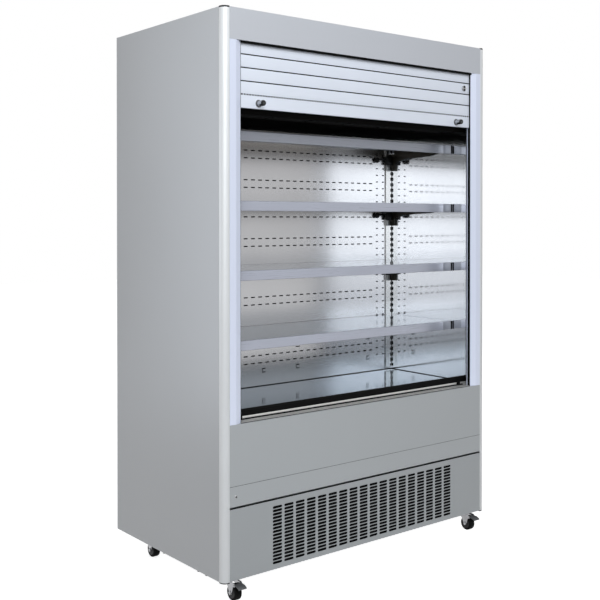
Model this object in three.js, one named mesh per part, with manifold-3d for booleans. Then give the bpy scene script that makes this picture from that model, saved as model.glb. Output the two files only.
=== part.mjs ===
// Open-front refrigerated display cabinet with a roll-down slatted shutter, four shelves and castors.
// Millimetres. X runs to the right as seen from the front, the front faces -Y, Z is up.
// The body is laid out from its front left bottom corner, in a group that puts the middle of the
// footprint, on the floor, at the origin. Shelves and castors have a group each.

import * as THREE from 'three';
import { mergeVertices } from 'three/addons/utils/BufferGeometryUtils.js';
import Module from 'manifold-3d';

const wasm = await Module();
wasm.setup();

// ---- driving dimensions ----

const WIDTH = 1200;
const DEPTH = 675;
const BODY_HEIGHT = 1758;
const CASTOR_HEIGHT = 70;

const GAP = 0.3;
const SHEET = 2;

// Outer shell.
const POST = 24;
const POST_ROUNDING = 18;
const POST_CAP_RISE = 2;
const POST_CAP_SKIRT = 3;
const SIDE_WALL = 46;
const INNER_WALL = 50;
const REAR_WALL = 45;
const ROOF_THICKNESS = 30;
const FASCIA_HEIGHT = 97.5;
const FASCIA_DEPTH = 9.6;
const SEAL_DROP = 6;
const SEAL_FRONT = 3.5;
const VENT_PANEL_TOP = 330;
const VENT_MARGIN = 60;
const VENT_HEIGHT = 8;
const VENT_ROWS = 6;

// Lower front.
const KICK_BOTTOM = 1;
const KICK_TOP = 222;
const STRIP_BOTTOM = 228;
const STRIP_TOP = 290.4;
const PANEL_BOTTOM = 291;
const SILL_TOP = 480;
const PANEL_RETURN = 20;
const GRILLE_COLUMNS = 18;
const GRILLE_ROWS = 17;
const GRILLE_LEFT = 188.5;
const GRILLE_TOP = 201;
const GRILLE_COLUMN_PITCH = 46.3;
const GRILLE_ROW_PITCH = 11;
const GRILLE_SLOT_LENGTH = 36.5;
const GRILLE_SLOT_HEIGHT = 6;

// Insulated tub and deck.
const TUB_FRONT = 48;
const TUB_WALL = 13.7;
const TUB_FLOOR_BOTTOM = 380;
const TUB_FLOOR_TOP = 420;
const RISER_TOP = 491;
const BUMPER_TOP = 513;
const BUMPER_DEPTH = 10;
const BUMPER_CHAMFER = 3;
const DECK_TOP = 490;
const DECK_SLOTS = 10;
const DECK_SLOT_SETBACK = 14;
const DECK_SLOT_DEPTH = 30;
const DECK_SLOT_BRIDGE = 8;

// Back duct, and canopy with the air outlet.
const BACK_DUCT_DEPTH = 173;
const CANOPY_DROP = 220.5;
const CANOPY_THICKNESS = 25;
const OUTLET_SETBACK = 16;
const OUTLET_DEPTH = 76;
const OUTLET_END = 40;
const OUTLET_BORDER = 6;
const OUTLET_COLUMNS = 6;
const OUTLET_GRID_HEIGHT = 14;

// Shelves, spaced evenly between the deck and the canopy.
const SHELF_COUNT = 4;
const TOP_SHELF_DROP = 44;
const SHELF_FRONT = 117;
const SHELF_LIP = 32;
const SHELF_SHEET = 1.5;
const SHELF_RETURN = 14;
const ARM_SETBACK = 40;
const ARM_NOSE = 16;
const ARM_HEEL = 60;
const ARM_THICKNESS = 5;
const HOOK_DROP = 84;
const HOOK_DEPTH = 6;
const BLOCK_LENGTH = 46;
const BLOCK_DEPTH = 14;
const BLOCK_TOP = 24;
const TIE_HEIGHT = 13;
const CROSSBAR_DROP = 48;
const CROSSBAR_RADIUS = 4;
const KNOB_INSET = 158;
const KNOB_RADIUS = 11;
const KNOB_HALF_LENGTH = 9;
const KNOB_DROP = 52;
const UPRIGHT_WIDTH = 32;
const UPRIGHT_DEPTH = 15.7;
const UPRIGHT_WALL = 1.8;
const UPRIGHT_SLOTS_PER_SHELF = 10;
const UPRIGHT_SLOT_HEIGHT = 16;
const UPRIGHT_SLOT_WIDTH = 10;

// Guide rails: one wide track for the leading section, narrow ones behind it.
const GUIDE_FLAT = 24;
const GUIDE_INNER_EDGE = 70;
const GUIDE_SLOPE_DEPTH = 8.5;
const GUIDE_LIP_BACK = 10;
const GUIDE_WEB = 5.7;
const LEAD_TRACK_BACK = 21.4;
const LEAD_FLANGE = 5.6;
const REAR_TRACK = 4;
const REAR_FIN = 1;
const REAR_CURTAINS = 4;

// Shutter.
const SHUTTER_SHOWN = 205.5;
const RAIL_HEIGHT = 42.2;
const RAIL_CHAMFER = 1.2;
const SLAT_PITCH = 41.3;
const SLAT_FRONT = 14;
const SLAT_THICKNESS = 7;
const SLAT_BULGE = 0.9;
const SLAT_GROOVE = 1.8;
const SLAT_HOOK = 10;
const LEAD_SLATS = 5;
const REAR_SLATS = 6;
const REAR_LIFT = 6;
const REAR_CLEARANCE = 0.5;
const SLAT_END_CLEARANCE = 0.4;
const LOCK_INSET = 144;
const LOCK_RADIUS = 9;
const LOCK_FRONT = -13;
const LOCK_REAR = 19.5;
const LOCK_RISE = 17;
const LOCK_CHAMFER = 1.4;
const KEYWAY_WIDTH = 1.8;
const KEYWAY_HEIGHT = 8;
const BUTTON_INSET = 103;
const BUTTON_RADIUS = 10;
const BUTTON_RISE = 5;
const BUTTON_CHAMFER = 1.5;
const PIN_RADIUS = 1.8;
const PIN_SPACING = 8;
const BARREL_RADIUS = 36;
const BARREL_Y = 125;
const BARREL_DROP = 118;
const BARREL_SHAFT = 8;
const BARREL_PLATE_REACH = 55;
const BARREL_PLATE_DROP = 70;
const SHAFT_CLEARANCE = 0.06;

// Base and castors.
const BASE_SHEET = 3;
const BASE_FLANGE = 16;
const STEM_INSET = 60;
const STEM_FRONT_Y = 50;
const STEM_REAR_INSET = 132;
const CASTOR_PLATE = 60;
const CASTOR_TRAIL = 22;
const WHEEL_RADIUS = 25;
const WHEEL_WIDTH = 22;
const WHEEL_SHOULDER = 3;
const HUB_RADIUS = 9;
const HUB_STEP = 1.5;
const AXLE_RADIUS = 4;
const AXLE_NUT = 3;
const KINGPIN_RADIUS = 5;
const KINGPIN_HEAD = 2.5;
const SWIVEL_RADIUS = 19;
const SWIVEL_HEIGHT = 7.2;
const FORK_SHEET = 2.5;
const FORK_CROWN = 3;
const FORK_SIDE_GAP = 2;
const FORK_FRONT = 14;
const FORK_REAR = 12;
const PEDAL_REACH = 68;
const PEDAL_PIVOT = 38;
const PEDAL_PIVOT_DROP = 19;
const PEDAL_HUB = 4;
const PEDAL_PIN = 2;
const PEDAL_TREAD_WIDTH = 30;

// Condensing unit.
const CONDENSER_FAN_X = 360;
const CONDENSER_FAN_Z = 112;
const CONDENSER_THROAT = 96;
const CONDENSER_FRONT = 30;
const CONDENSER_DEPTH = 38;
const CONDENSER_LENGTH = 420;
const CONDENSER_BOTTOM = 8;
const CONDENSER_HEIGHT = 200;
const SHROUD_HALF = 110;
const SHROUD_BELOW = 104;
const SHROUD_ABOVE = 98;
const SHROUD_DEPTH = 44;
const STRUT_WIDTH = 16;
const STRUT_DEPTH = 6;
const CONDENSER_MOTOR_RADIUS = 30;
const CONDENSER_MOTOR_LENGTH = 48;
const CONDENSER_HUB = 24;
const CONDENSER_SHAFT = 4;
const CONDENSER_BLADES = 22;
const COMPRESSOR_X = 820;
const COMPRESSOR_Y = 270;
const COMPRESSOR_RADIUS = 98;
const COMPRESSOR_HEIGHT = 194;
const COMPRESSOR_BOTTOM = 14;
const COMPRESSOR_PLATE_LENGTH = 220;
const COMPRESSOR_PLATE_DEPTH = 160;
const COMPRESSOR_FOOT_RADIUS = 13;
const COMPRESSOR_FOOT_INSET = 18;
const TERMINAL_BOX = 60;
const PROCESS_PIPE_RADIUS = 6;
const PROCESS_PIPE_TOP = 300;

// Evaporator in the back duct.
const EVAPORATOR_RISE = 70;
const EVAPORATOR_HEIGHT = 300;
const EVAPORATOR_END = 60;
const EVAPORATOR_FRONT_GAP = 12;
const EVAPORATOR_REAR_GAP = 20;
const EVAPORATOR_FAN_DROP = 40;
const EVAPORATOR_FAN_MARGIN = 7.5;
const EVAPORATOR_FAN_HALF = 120;
const EVAPORATOR_HUB = 16;
const EVAPORATOR_SHAFT = 3;
const EVAPORATOR_BLADES = 22;
const EVAPORATOR_MOTOR_RADIUS = 24;
const EVAPORATOR_MOTOR_LENGTH = 41;
const EVAPORATOR_BAR_DROP = 24;
const FAN_PLATE = 3;
const FAN_BLADE = 2.4;
const FAN_CLEARANCE = 6;

// ---- what follows from them ----

const FLOOR = -CASTOR_HEIGHT;
const FASCIA_BOTTOM = BODY_HEIGHT - FASCIA_HEIGHT;
const ROOF_BOTTOM = BODY_HEIGHT - ROOF_THICKNESS;
const HEAD_TOP = ROOF_BOTTOM - SEAL_DROP;
const REAR_WALL_FRONT = DEPTH - REAR_WALL;
const BACK_PANEL_FRONT = REAR_WALL_FRONT - BACK_DUCT_DEPTH;
const CANOPY_BOTTOM = FASCIA_BOTTOM - CANOPY_DROP;
const CANOPY_TOP = CANOPY_BOTTOM + CANOPY_THICKNESS;
const TOP_SHELF = CANOPY_BOTTOM - TOP_SHELF_DROP;
const SHELF_SPACING = (TOP_SHELF - DECK_TOP) / SHELF_COUNT;
const UPRIGHT_SLOT_PITCH = SHELF_SPACING / UPRIGHT_SLOTS_PER_SHELF;
const GUIDE_OUTER = POST + GAP;
const GUIDE_CHANNEL = GUIDE_OUTER + GUIDE_WEB;
const SLAT_LEFT = GUIDE_CHANNEL + SLAT_END_CLEARANCE;
const REAR_TRACKS_START = LEAD_TRACK_BACK + LEAD_FLANGE;
const REAR_PITCH = REAR_TRACK + REAR_FIN;
const GUIDE_DEPTH = REAR_TRACKS_START + REAR_CURTAINS * REAR_PITCH + 2 * GAP;
const WALL_STEP = Math.max(GUIDE_DEPTH, TUB_FRONT) + GAP;
const SHUTTER_BOTTOM = FASCIA_BOTTOM - SHUTTER_SHOWN;
const BARREL_Z = BODY_HEIGHT - BARREL_DROP;

// ---- shape helpers ----

function toSolid(geometry) {
  geometry.deleteAttribute('normal');
  geometry.deleteAttribute('uv');
  const merged = mergeVertices(geometry, 1e-4);
  const mesh = new wasm.Mesh({
    numProp: 3,
    vertProperties: Float32Array.from(merged.attributes.position.array),
    triVerts: Uint32Array.from(merged.index.array),
  });
  return new wasm.Manifold(mesh);
}

function toGeometry(solid) {
  const mesh = solid.getMesh();
  const geometry = new THREE.BufferGeometry();
  geometry.setAttribute('position', new THREE.BufferAttribute(Float32Array.from(mesh.vertProperties), 3));
  geometry.setIndex(new THREE.BufferAttribute(Uint32Array.from(mesh.triVerts), 1));
  return geometry;
}

// Box between two x, two y and two z values.
function box([x0, x1], [y0, y1], [z0, z1]) {
  const geometry = new THREE.BoxGeometry(Math.abs(x1 - x0), y1 - y0, z1 - z0);
  geometry.translate((x0 + x1) / 2, (y0 + y1) / 2, (z0 + z1) / 2);
  return toSolid(geometry);
}

// Prism along an axis. The outline is in (y, z) for x, in (x, z) for y and in (x, y) for z.
function prism(axis, outline, [from, to]) {
  const flip = axis === 'y';
  const place = ([a, b]) => (flip ? new THREE.Vector2(b, a) : new THREE.Vector2(a, b));
  const shape = new THREE.Shape(outline.map(place));
  const low = Math.min(from, to);
  const geometry = new THREE.ExtrudeGeometry(shape, { depth: Math.abs(to - from), bevelEnabled: false });
  geometry.translate(0, 0, low);
  const ux = new THREE.Vector3(1, 0, 0);
  const uy = new THREE.Vector3(0, 1, 0);
  const uz = new THREE.Vector3(0, 0, 1);
  const basis = { x: [uy, uz, ux], y: [uz, ux, uy], z: [ux, uy, uz] }[axis];
  geometry.applyMatrix4(new THREE.Matrix4().makeBasis(...basis));
  return toSolid(geometry);
}

// Turned solid along an axis through `at`; steps are [position, radius] pairs in rising order.
function turned(axis, at, steps, segments = 24) {
  let result = null;
  for (let i = 1; i < steps.length; i += 1) {
    const [start, r0] = steps[i - 1];
    const [end, r1] = steps[i];
    if (end - start < 1e-6) continue;
    const geometry = new THREE.CylinderGeometry(r1, r0, end - start, segments);
    geometry.translate(0, (start + end) / 2, 0);
    if (axis === 'x') {
      geometry.rotateZ(-Math.PI / 2);
      geometry.translate(0, at[0], at[1]);
    } else if (axis === 'z') {
      geometry.rotateX(Math.PI / 2);
      geometry.translate(at[0], at[1], 0);
    } else {
      geometry.translate(at[0], 0, at[1]);
    }
    const piece = toSolid(geometry);
    result = result ? result.add(piece) : piece;
  }
  return result;
}

function rod(axis, at, radius, [from, to], segments = 24) {
  return turned(axis, at, [[Math.min(from, to), radius], [Math.max(from, to), radius]], segments);
}

// Cutter for a hole round a shaft of that radius. Its flats stay clear of the shaft's corners.
function boreFor(axis, at, radius, span, segments = 16) {
  const flats = radius + SHAFT_CLEARANCE;
  return rod(axis, at, flats / Math.cos(Math.PI / segments), span, segments);
}

function join(...pieces) {
  return pieces.reduce((sum, piece) => sum.add(piece));
}

// Takes a list of separate cutters out of a solid.
function cut(solid, cutters) {
  let all = cutters;
  while (all.length > 1) {
    const pairs = [];
    for (let i = 0; i < all.length; i += 2) {
      pairs.push(i + 1 < all.length ? all[i].add(all[i + 1]) : all[i]);
    }
    all = pairs;
  }
  return solid.subtract(all[0]);
}

// x of a left-hand feature, or of the same feature on the right.
function across(side, x) {
  return side === 'left' ? x : WIDTH - x;
}

const part = new THREE.Group();
part.name = 'display_fridge';

// Group inside another one, moved by an offset.
function addGroup(name, parent, offset) {
  const group = new THREE.Group();
  group.name = name;
  group.position.set(...offset);
  parent.add(group);
  return group;
}

const footprintFront = Math.min(STEM_FRONT_Y - PEDAL_REACH, LOCK_FRONT);
const body = addGroup('body', part, [-WIDTH / 2, -(footprintFront + DEPTH) / 2, CASTOR_HEIGHT]);

function addNode(name, solid, finish, parent = body) {
  const material = new THREE.MeshStandardMaterial(finish);
  material.name = name;
  const mesh = new THREE.Mesh(toGeometry(solid), material);
  mesh.name = name;
  mesh.geometry.computeVertexNormals();
  parent.add(mesh);
}

const SILVER_PAINT = { color: 0xb4b6b9, roughness: 0.45, metalness: 0.4 };
const GREY_PAINT = { color: 0x8f9496, roughness: 0.5, metalness: 0.2 };
const STAINLESS = { color: 0xc2c4c6, roughness: 0.25, metalness: 1 };
const ALUMINIUM = { color: 0xe3e5e8, roughness: 0.4, metalness: 0.8 };
const GALVANISED = { color: 0x9a9ea1, roughness: 0.5, metalness: 0.9 };
const CHROME = { color: 0xd0d2d5, roughness: 0.12, metalness: 1 };
const BLACK_PAINT = { color: 0x141516, roughness: 0.4, metalness: 0 };
const BLACK_PLASTIC = { color: 0x17181a, roughness: 0.6, metalness: 0 };
const RUBBER = { color: 0x101010, roughness: 0.8, metalness: 0 };
const PEDAL_GREY = { color: 0x3a3d40, roughness: 0.55, metalness: 0.3 };

// ---- cabinet shell ----

function addSidePanel(side) {
  const outline = [
    [across(side, 0), POST + GAP],
    [across(side, POST), POST + GAP],
    [across(side, POST), WALL_STEP],
    [across(side, SIDE_WALL), WALL_STEP],
    [across(side, SIDE_WALL), DEPTH],
    [across(side, 0), DEPTH],
  ];
  addNode(`side_panel_${side}`, prism('z', outline, [0, BODY_HEIGHT]), SILVER_PAINT);
}

// Square post section with its outer corner rounded.
function postOutline(side) {
  const steps = 6;
  const outline = [[across(side, POST), 0], [across(side, POST), POST], [across(side, 0), POST]];
  for (let i = 0; i <= steps; i += 1) {
    const angle = (Math.PI / 2) * (i / steps);
    const x = POST_ROUNDING * (1 - Math.cos(angle));
    const y = POST_ROUNDING * (1 - Math.sin(angle));
    outline.push([across(side, x), y]);
  }
  return outline;
}

function addCornerPost(side) {
  const top = BODY_HEIGHT - POST_CAP_SKIRT;
  const cap = prism('z', postOutline(side), [top, BODY_HEIGHT + POST_CAP_RISE]);
  addNode(`corner_post_${side}`, prism('z', postOutline(side), [0, top - GAP]), ALUMINIUM);
  addNode(`post_cap_${side}`, cap, BLACK_PLASTIC);
}

function addFascia() {
  const back = SHEET;
  const outline = [
    [0, FASCIA_BOTTOM],
    [FASCIA_DEPTH, FASCIA_BOTTOM],
    [FASCIA_DEPTH, FASCIA_BOTTOM + SHEET],
    [back, FASCIA_BOTTOM + SHEET],
    [back, BODY_HEIGHT - SHEET],
    [POST, BODY_HEIGHT - SHEET],
    [POST, BODY_HEIGHT],
    [0, BODY_HEIGHT],
  ];
  addNode('fascia_panel', prism('x', outline, [GUIDE_OUTER, WIDTH - GUIDE_OUTER]), SILVER_PAINT);
  const inner = GUIDE_INNER_EDGE + GAP;
  const seal = box(
    [inner, WIDTH - inner],
    [SEAL_FRONT, SLAT_FRONT - SHEET / 2],
    [FASCIA_BOTTOM - SEAL_DROP, FASCIA_BOTTOM - GAP],
  );
  addNode('head_brush_seal', seal, RUBBER);
}

function addRoof() {
  const left = GUIDE_OUTER;
  const inner = SIDE_WALL + GAP;
  const step = WALL_STEP - GAP;
  const outline = [
    [left, POST + GAP],
    [WIDTH - left, POST + GAP],
    [WIDTH - left, step],
    [WIDTH - inner, step],
    [WIDTH - inner, DEPTH],
    [inner, DEPTH],
    [inner, step],
    [left, step],
  ];
  addNode('roof_panel', prism('z', outline, [ROOF_BOTTOM, BODY_HEIGHT]), SILVER_PAINT);
}

function addRear() {
  const inner = SIDE_WALL + GAP;
  const span = [inner, WIDTH - inner];
  const panel = box(span, [REAR_WALL_FRONT, DEPTH], [VENT_PANEL_TOP, ROOF_BOTTOM - GAP]);
  addNode('rear_panel', panel, SILVER_PAINT);

  const vents = [];
  const ventWidth = WIDTH / 2 - inner - 1.5 * VENT_MARGIN;
  const ventPitch = (VENT_PANEL_TOP - 2 * VENT_MARGIN) / (VENT_ROWS - 1);
  for (const start of [inner + VENT_MARGIN, (WIDTH + VENT_MARGIN) / 2]) {
    for (let row = 0; row < VENT_ROWS; row += 1) {
      const z = VENT_MARGIN + row * ventPitch - VENT_HEIGHT / 2;
      vents.push(box([start, start + ventWidth], [DEPTH - PANEL_RETURN, DEPTH], [z, z + VENT_HEIGHT]));
    }
  }
  const low = 2 * SHEET;
  const top = VENT_PANEL_TOP - GAP;
  const face = cut(box(span, [DEPTH - 2 * SHEET, DEPTH - SHEET], [low, top]), vents);
  const returnBack = [DEPTH - PANEL_RETURN, DEPTH - SHEET];
  const upper = box(span, returnBack, [top - SHEET, top]);
  const lower = box(span, returnBack, [low, low + SHEET]);
  addNode('rear_vent_panel', join(face, upper, lower), GREY_PAINT);
}

// ---- lower front ----

function channelOutline(bottom, top, upperReturn) {
  return [
    [0, bottom],
    [PANEL_RETURN, bottom],
    [PANEL_RETURN, bottom + SHEET],
    [SHEET, bottom + SHEET],
    [SHEET, top - SHEET],
    [upperReturn, top - SHEET],
    [upperReturn, top],
    [0, top],
  ];
}

function addLowerFront() {
  const span = [GUIDE_OUTER, WIDTH - GUIDE_OUTER];
  const panel = prism('x', channelOutline(PANEL_BOTTOM, SILL_TOP, TUB_FRONT - GAP), span);
  addNode('front_panel', panel, GREY_PAINT);
  const strip = prism('x', channelOutline(STRIP_BOTTOM, STRIP_TOP, PANEL_RETURN), span);
  addNode('front_strip', strip, GREY_PAINT);

  const slots = [];
  for (let column = 0; column < GRILLE_COLUMNS; column += 1) {
    for (let row = 0; row < GRILLE_ROWS; row += 1) {
      const x = GRILLE_LEFT + column * GRILLE_COLUMN_PITCH;
      const z = GRILLE_TOP - row * GRILLE_ROW_PITCH;
      slots.push(box([x, x + GRILLE_SLOT_LENGTH], [-SHEET, 2 * SHEET], [z - GRILLE_SLOT_HEIGHT, z]));
    }
  }
  const face = cut(box(span, [0, SHEET], [KICK_BOTTOM, KICK_TOP]), slots);
  const upper = box(span, [0, PANEL_RETURN], [KICK_TOP - SHEET, KICK_TOP]);
  const lower = box(span, [0, PANEL_RETURN], [KICK_BOTTOM, KICK_BOTTOM + SHEET]);
  addNode('kick_grille', join(face, upper, lower), GREY_PAINT);
}

// ---- display space ----

function addTub() {
  const inner = INNER_WALL + GAP;
  const wall = [TUB_FRONT, TUB_FRONT + TUB_WALL];
  const outline = [
    [wall[0], TUB_FLOOR_BOTTOM],
    [REAR_WALL_FRONT - GAP, TUB_FLOOR_BOTTOM],
    [REAR_WALL_FRONT - GAP, TUB_FLOOR_TOP],
    [wall[1], TUB_FLOOR_TOP],
    [wall[1], RISER_TOP],
    [wall[0], RISER_TOP],
  ];
  addNode('display_tub', prism('x', outline, [inner, WIDTH - inner]), STAINLESS);
  const bumper = [
    [TUB_FRONT, RISER_TOP + GAP],
    [TUB_FRONT + BUMPER_DEPTH, RISER_TOP + GAP],
    [TUB_FRONT + BUMPER_DEPTH, BUMPER_TOP - BUMPER_CHAMFER],
    [TUB_FRONT + BUMPER_DEPTH - BUMPER_CHAMFER, BUMPER_TOP],
    [TUB_FRONT + BUMPER_CHAMFER, BUMPER_TOP],
    [TUB_FRONT, BUMPER_TOP - BUMPER_CHAMFER],
  ];
  addNode('sill_bumper', prism('x', bumper, [inner, WIDTH - inner]), RUBBER);
}

function addDeck() {
  const inner = INNER_WALL + GAP;
  const span = [inner, WIDTH - inner];
  const front = TUB_FRONT + TUB_WALL + GAP;
  const back = BACK_PANEL_FRONT - GAP;
  const foot = TUB_FLOOR_TOP + GAP;
  const slots = [];
  const slotFront = front + DECK_SLOT_SETBACK;
  const pitch = (WIDTH - 2 * (inner + PANEL_RETURN)) / DECK_SLOTS;
  for (let i = 0; i < DECK_SLOTS; i += 1) {
    const x = inner + PANEL_RETURN + i * pitch + DECK_SLOT_BRIDGE / 2;
    slots.push(box(
      [x, x + pitch - DECK_SLOT_BRIDGE],
      [slotFront, slotFront + DECK_SLOT_DEPTH],
      [DECK_TOP - 2 * SHEET, DECK_TOP + SHEET],
    ));
  }
  const top = cut(box(span, [front, back], [DECK_TOP - SHEET, DECK_TOP]), slots);
  const frontLeg = box(span, [front, front + SHEET], [foot, DECK_TOP]);
  const backLeg = box(span, [back - SHEET, back], [foot, DECK_TOP]);
  addNode('deck_pan', join(top, frontLeg, backLeg), STAINLESS);
}

function addLiner(side) {
  const outer = across(side, SIDE_WALL + GAP);
  const inner = across(side, INNER_WALL);
  const depth = [WALL_STEP, REAR_WALL_FRONT - GAP];
  const liner = box([outer, inner], depth, [TUB_FLOOR_BOTTOM, CANOPY_TOP]);
  addNode(`inner_side_${side}`, liner, STAINLESS);
}

function addInnerBack() {
  const inner = INNER_WALL + GAP;
  const back = box(
    [inner, WIDTH - inner],
    [BACK_PANEL_FRONT, BACK_PANEL_FRONT + SHEET],
    [TUB_FLOOR_TOP + GAP, CANOPY_BOTTOM - GAP],
  );
  addNode('inner_back_panel', back, STAINLESS);
}

function addCanopy() {
  const inner = INNER_WALL + GAP;
  const outletFront = WALL_STEP + OUTLET_SETBACK;
  const outletBack = outletFront + OUTLET_DEPTH;
  const outletLeft = inner + OUTLET_END;
  const depth = [WALL_STEP, REAR_WALL_FRONT - GAP];
  const slab = box([inner, WIDTH - inner], depth, [CANOPY_BOTTOM, CANOPY_TOP]);
  const outlet = box(
    [outletLeft, WIDTH - outletLeft],
    [outletFront, outletBack],
    [CANOPY_BOTTOM - SHEET, CANOPY_TOP + SHEET],
  );
  addNode('canopy_duct', slab.subtract(outlet), BLACK_PAINT);

  const cells = [];
  const left = outletLeft + GAP;
  const front = outletFront + GAP;
  const back = outletBack - GAP;
  const pitch = (WIDTH - 2 * left - OUTLET_BORDER) / OUTLET_COLUMNS;
  const cellDepth = (back - front - 3 * OUTLET_BORDER) / 2;
  for (let column = 0; column < OUTLET_COLUMNS; column += 1) {
    for (const start of [front + OUTLET_BORDER, back - OUTLET_BORDER - cellDepth]) {
      const x = left + OUTLET_BORDER + column * pitch;
      const reach = [x, x + pitch - OUTLET_BORDER];
      cells.push(box(reach, [start, start + cellDepth], [CANOPY_BOTTOM, CANOPY_TOP]));
    }
  }
  const bottom = CANOPY_BOTTOM + SHEET;
  const grid = box([left, WIDTH - left], [front, back], [bottom, bottom + OUTLET_GRID_HEIGHT]);
  addNode('air_outlet_grid', cut(grid, cells), BLACK_PLASTIC);
}

function addUpright(side) {
  const wall = UPRIGHT_WALL;
  const x0 = INNER_WALL + SHEET / 2;
  const x1 = x0 + UPRIGHT_WIDTH;
  const back = BACK_PANEL_FRONT - GAP;
  const front = back - UPRIGHT_DEPTH;
  const bottom = DECK_TOP + PANEL_RETURN / 2;
  const top = CANOPY_BOTTOM - BUMPER_CHAMFER - SHEET;
  const outline = [
    [x0, back],
    [x0, front],
    [x1, front],
    [x1, back],
    [x1 - wall, back],
    [x1 - wall, front + wall],
    [x0 + wall, front + wall],
    [x0 + wall, back],
  ].map(([x, y]) => [across(side, x), y]);
  const slotLeft = (x0 + x1 - UPRIGHT_SLOT_WIDTH) / 2;
  const slotSpan = [across(side, slotLeft), across(side, slotLeft + UPRIGHT_SLOT_WIDTH)];
  const slots = [];
  const first = bottom + UPRIGHT_SLOT_PITCH / 2;
  for (let z = first; z < top - UPRIGHT_SLOT_PITCH; z += UPRIGHT_SLOT_PITCH) {
    slots.push(box(slotSpan, [front - wall, front + 2 * wall], [z, z + UPRIGHT_SLOT_HEIGHT]));
  }
  addNode(`shelf_upright_${side}`, cut(prism('z', outline, [bottom, top]), slots), STAINLESS);
}

// Shelf in its own group, with its top at zero.
function addShelf(index, unit) {
  const left = INNER_WALL + SHEET / 2;
  const back = BACK_PANEL_FRONT - 2 * GAP;
  const sheet = SHELF_SHEET;
  const outline = [
    [SHELF_FRONT, -SHELF_LIP],
    [SHELF_FRONT + SHELF_RETURN, -SHELF_LIP],
    [SHELF_FRONT + SHELF_RETURN, sheet - SHELF_LIP],
    [SHELF_FRONT + sheet, sheet - SHELF_LIP],
    [SHELF_FRONT + sheet, -sheet],
    [back - sheet, -sheet],
    [back - sheet, -SHELF_RETURN],
    [back, -SHELF_RETURN],
    [back, 0],
    [SHELF_FRONT, 0],
  ];
  const margin = SHEET / 2;
  const notch = [BACK_PANEL_FRONT - GAP - UPRIGHT_DEPTH - margin, back + margin];
  const notches = ['left', 'right'].map((side) => {
    const reach = [across(side, left - margin), across(side, left + UPRIGHT_WIDTH + margin)];
    return box(reach, notch, [-SHELF_LIP, sheet]);
  });
  const shelf = cut(prism('x', outline, [left, WIDTH - left]), notches);
  addNode(`shelf_${index + 1}`, shelf, STAINLESS, unit);
}

// Two arms under a shelf, tied behind its front lip. Each has a hook in the upright, and a block at
// its root with a short crossbar and a round buffer.
function addShelfBrackets(index, unit) {
  const top = -SHELF_SHEET - GAP;
  const back = BACK_PANEL_FRONT - GAP - UPRIGHT_DEPTH - ARM_THICKNESS / 2;
  const front = SHELF_FRONT + ARM_SETBACK;
  const heel = top - ARM_HEEL;
  const notch = back - 1.25 * ARM_NOSE;
  const arm = [
    [back, top - ARM_NOSE],
    [back, top - HOOK_DROP],
    [back - HOOK_DEPTH, top - HOOK_DROP],
    [back - HOOK_DEPTH, heel],
    [back - 2 * ARM_NOSE, heel + ARM_NOSE / 3],
    [front, top - ARM_NOSE],
    [front, top],
    [notch, top],
    [notch, top - ARM_NOSE],
  ];
  const barY = back - TIE_HEIGHT;
  const armOuter = INNER_WALL + SHEET;
  const span = [armOuter, WIDTH - armOuter];
  let set = box(span, [front, front + ARM_THICKNESS], [top - TIE_HEIGHT, top]);
  for (const side of ['left', 'right']) {
    const outer = across(side, armOuter);
    const inner = across(side, armOuter + ARM_THICKNESS);
    const knob = across(side, KNOB_INSET);
    const blockEnd = across(side, armOuter + BLOCK_LENGTH);
    set = set.add(prism('x', arm, [outer, inner]));
    set = set.add(box([outer, blockEnd], [back - BLOCK_DEPTH, back], [heel, top - BLOCK_TOP]));
    const barStart = across(side, armOuter + BLOCK_LENGTH - ARM_THICKNESS);
    set = set.add(rod('x', [barY, -CROSSBAR_DROP], CROSSBAR_RADIUS, [barStart, knob], 6));
    set = set.add(turned('y', [knob, -KNOB_DROP], [
      [barY - KNOB_HALF_LENGTH, KNOB_RADIUS / 2],
      [barY - KNOB_HALF_LENGTH / 2, KNOB_RADIUS],
      [barY + KNOB_HALF_LENGTH / 2, KNOB_RADIUS],
      [barY + KNOB_HALF_LENGTH, KNOB_RADIUS / 2],
    ], 8));
  }
  addNode(`shelf_brackets_${index + 1}`, set, BLACK_PAINT, unit);
}

// ---- shutter ----

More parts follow.
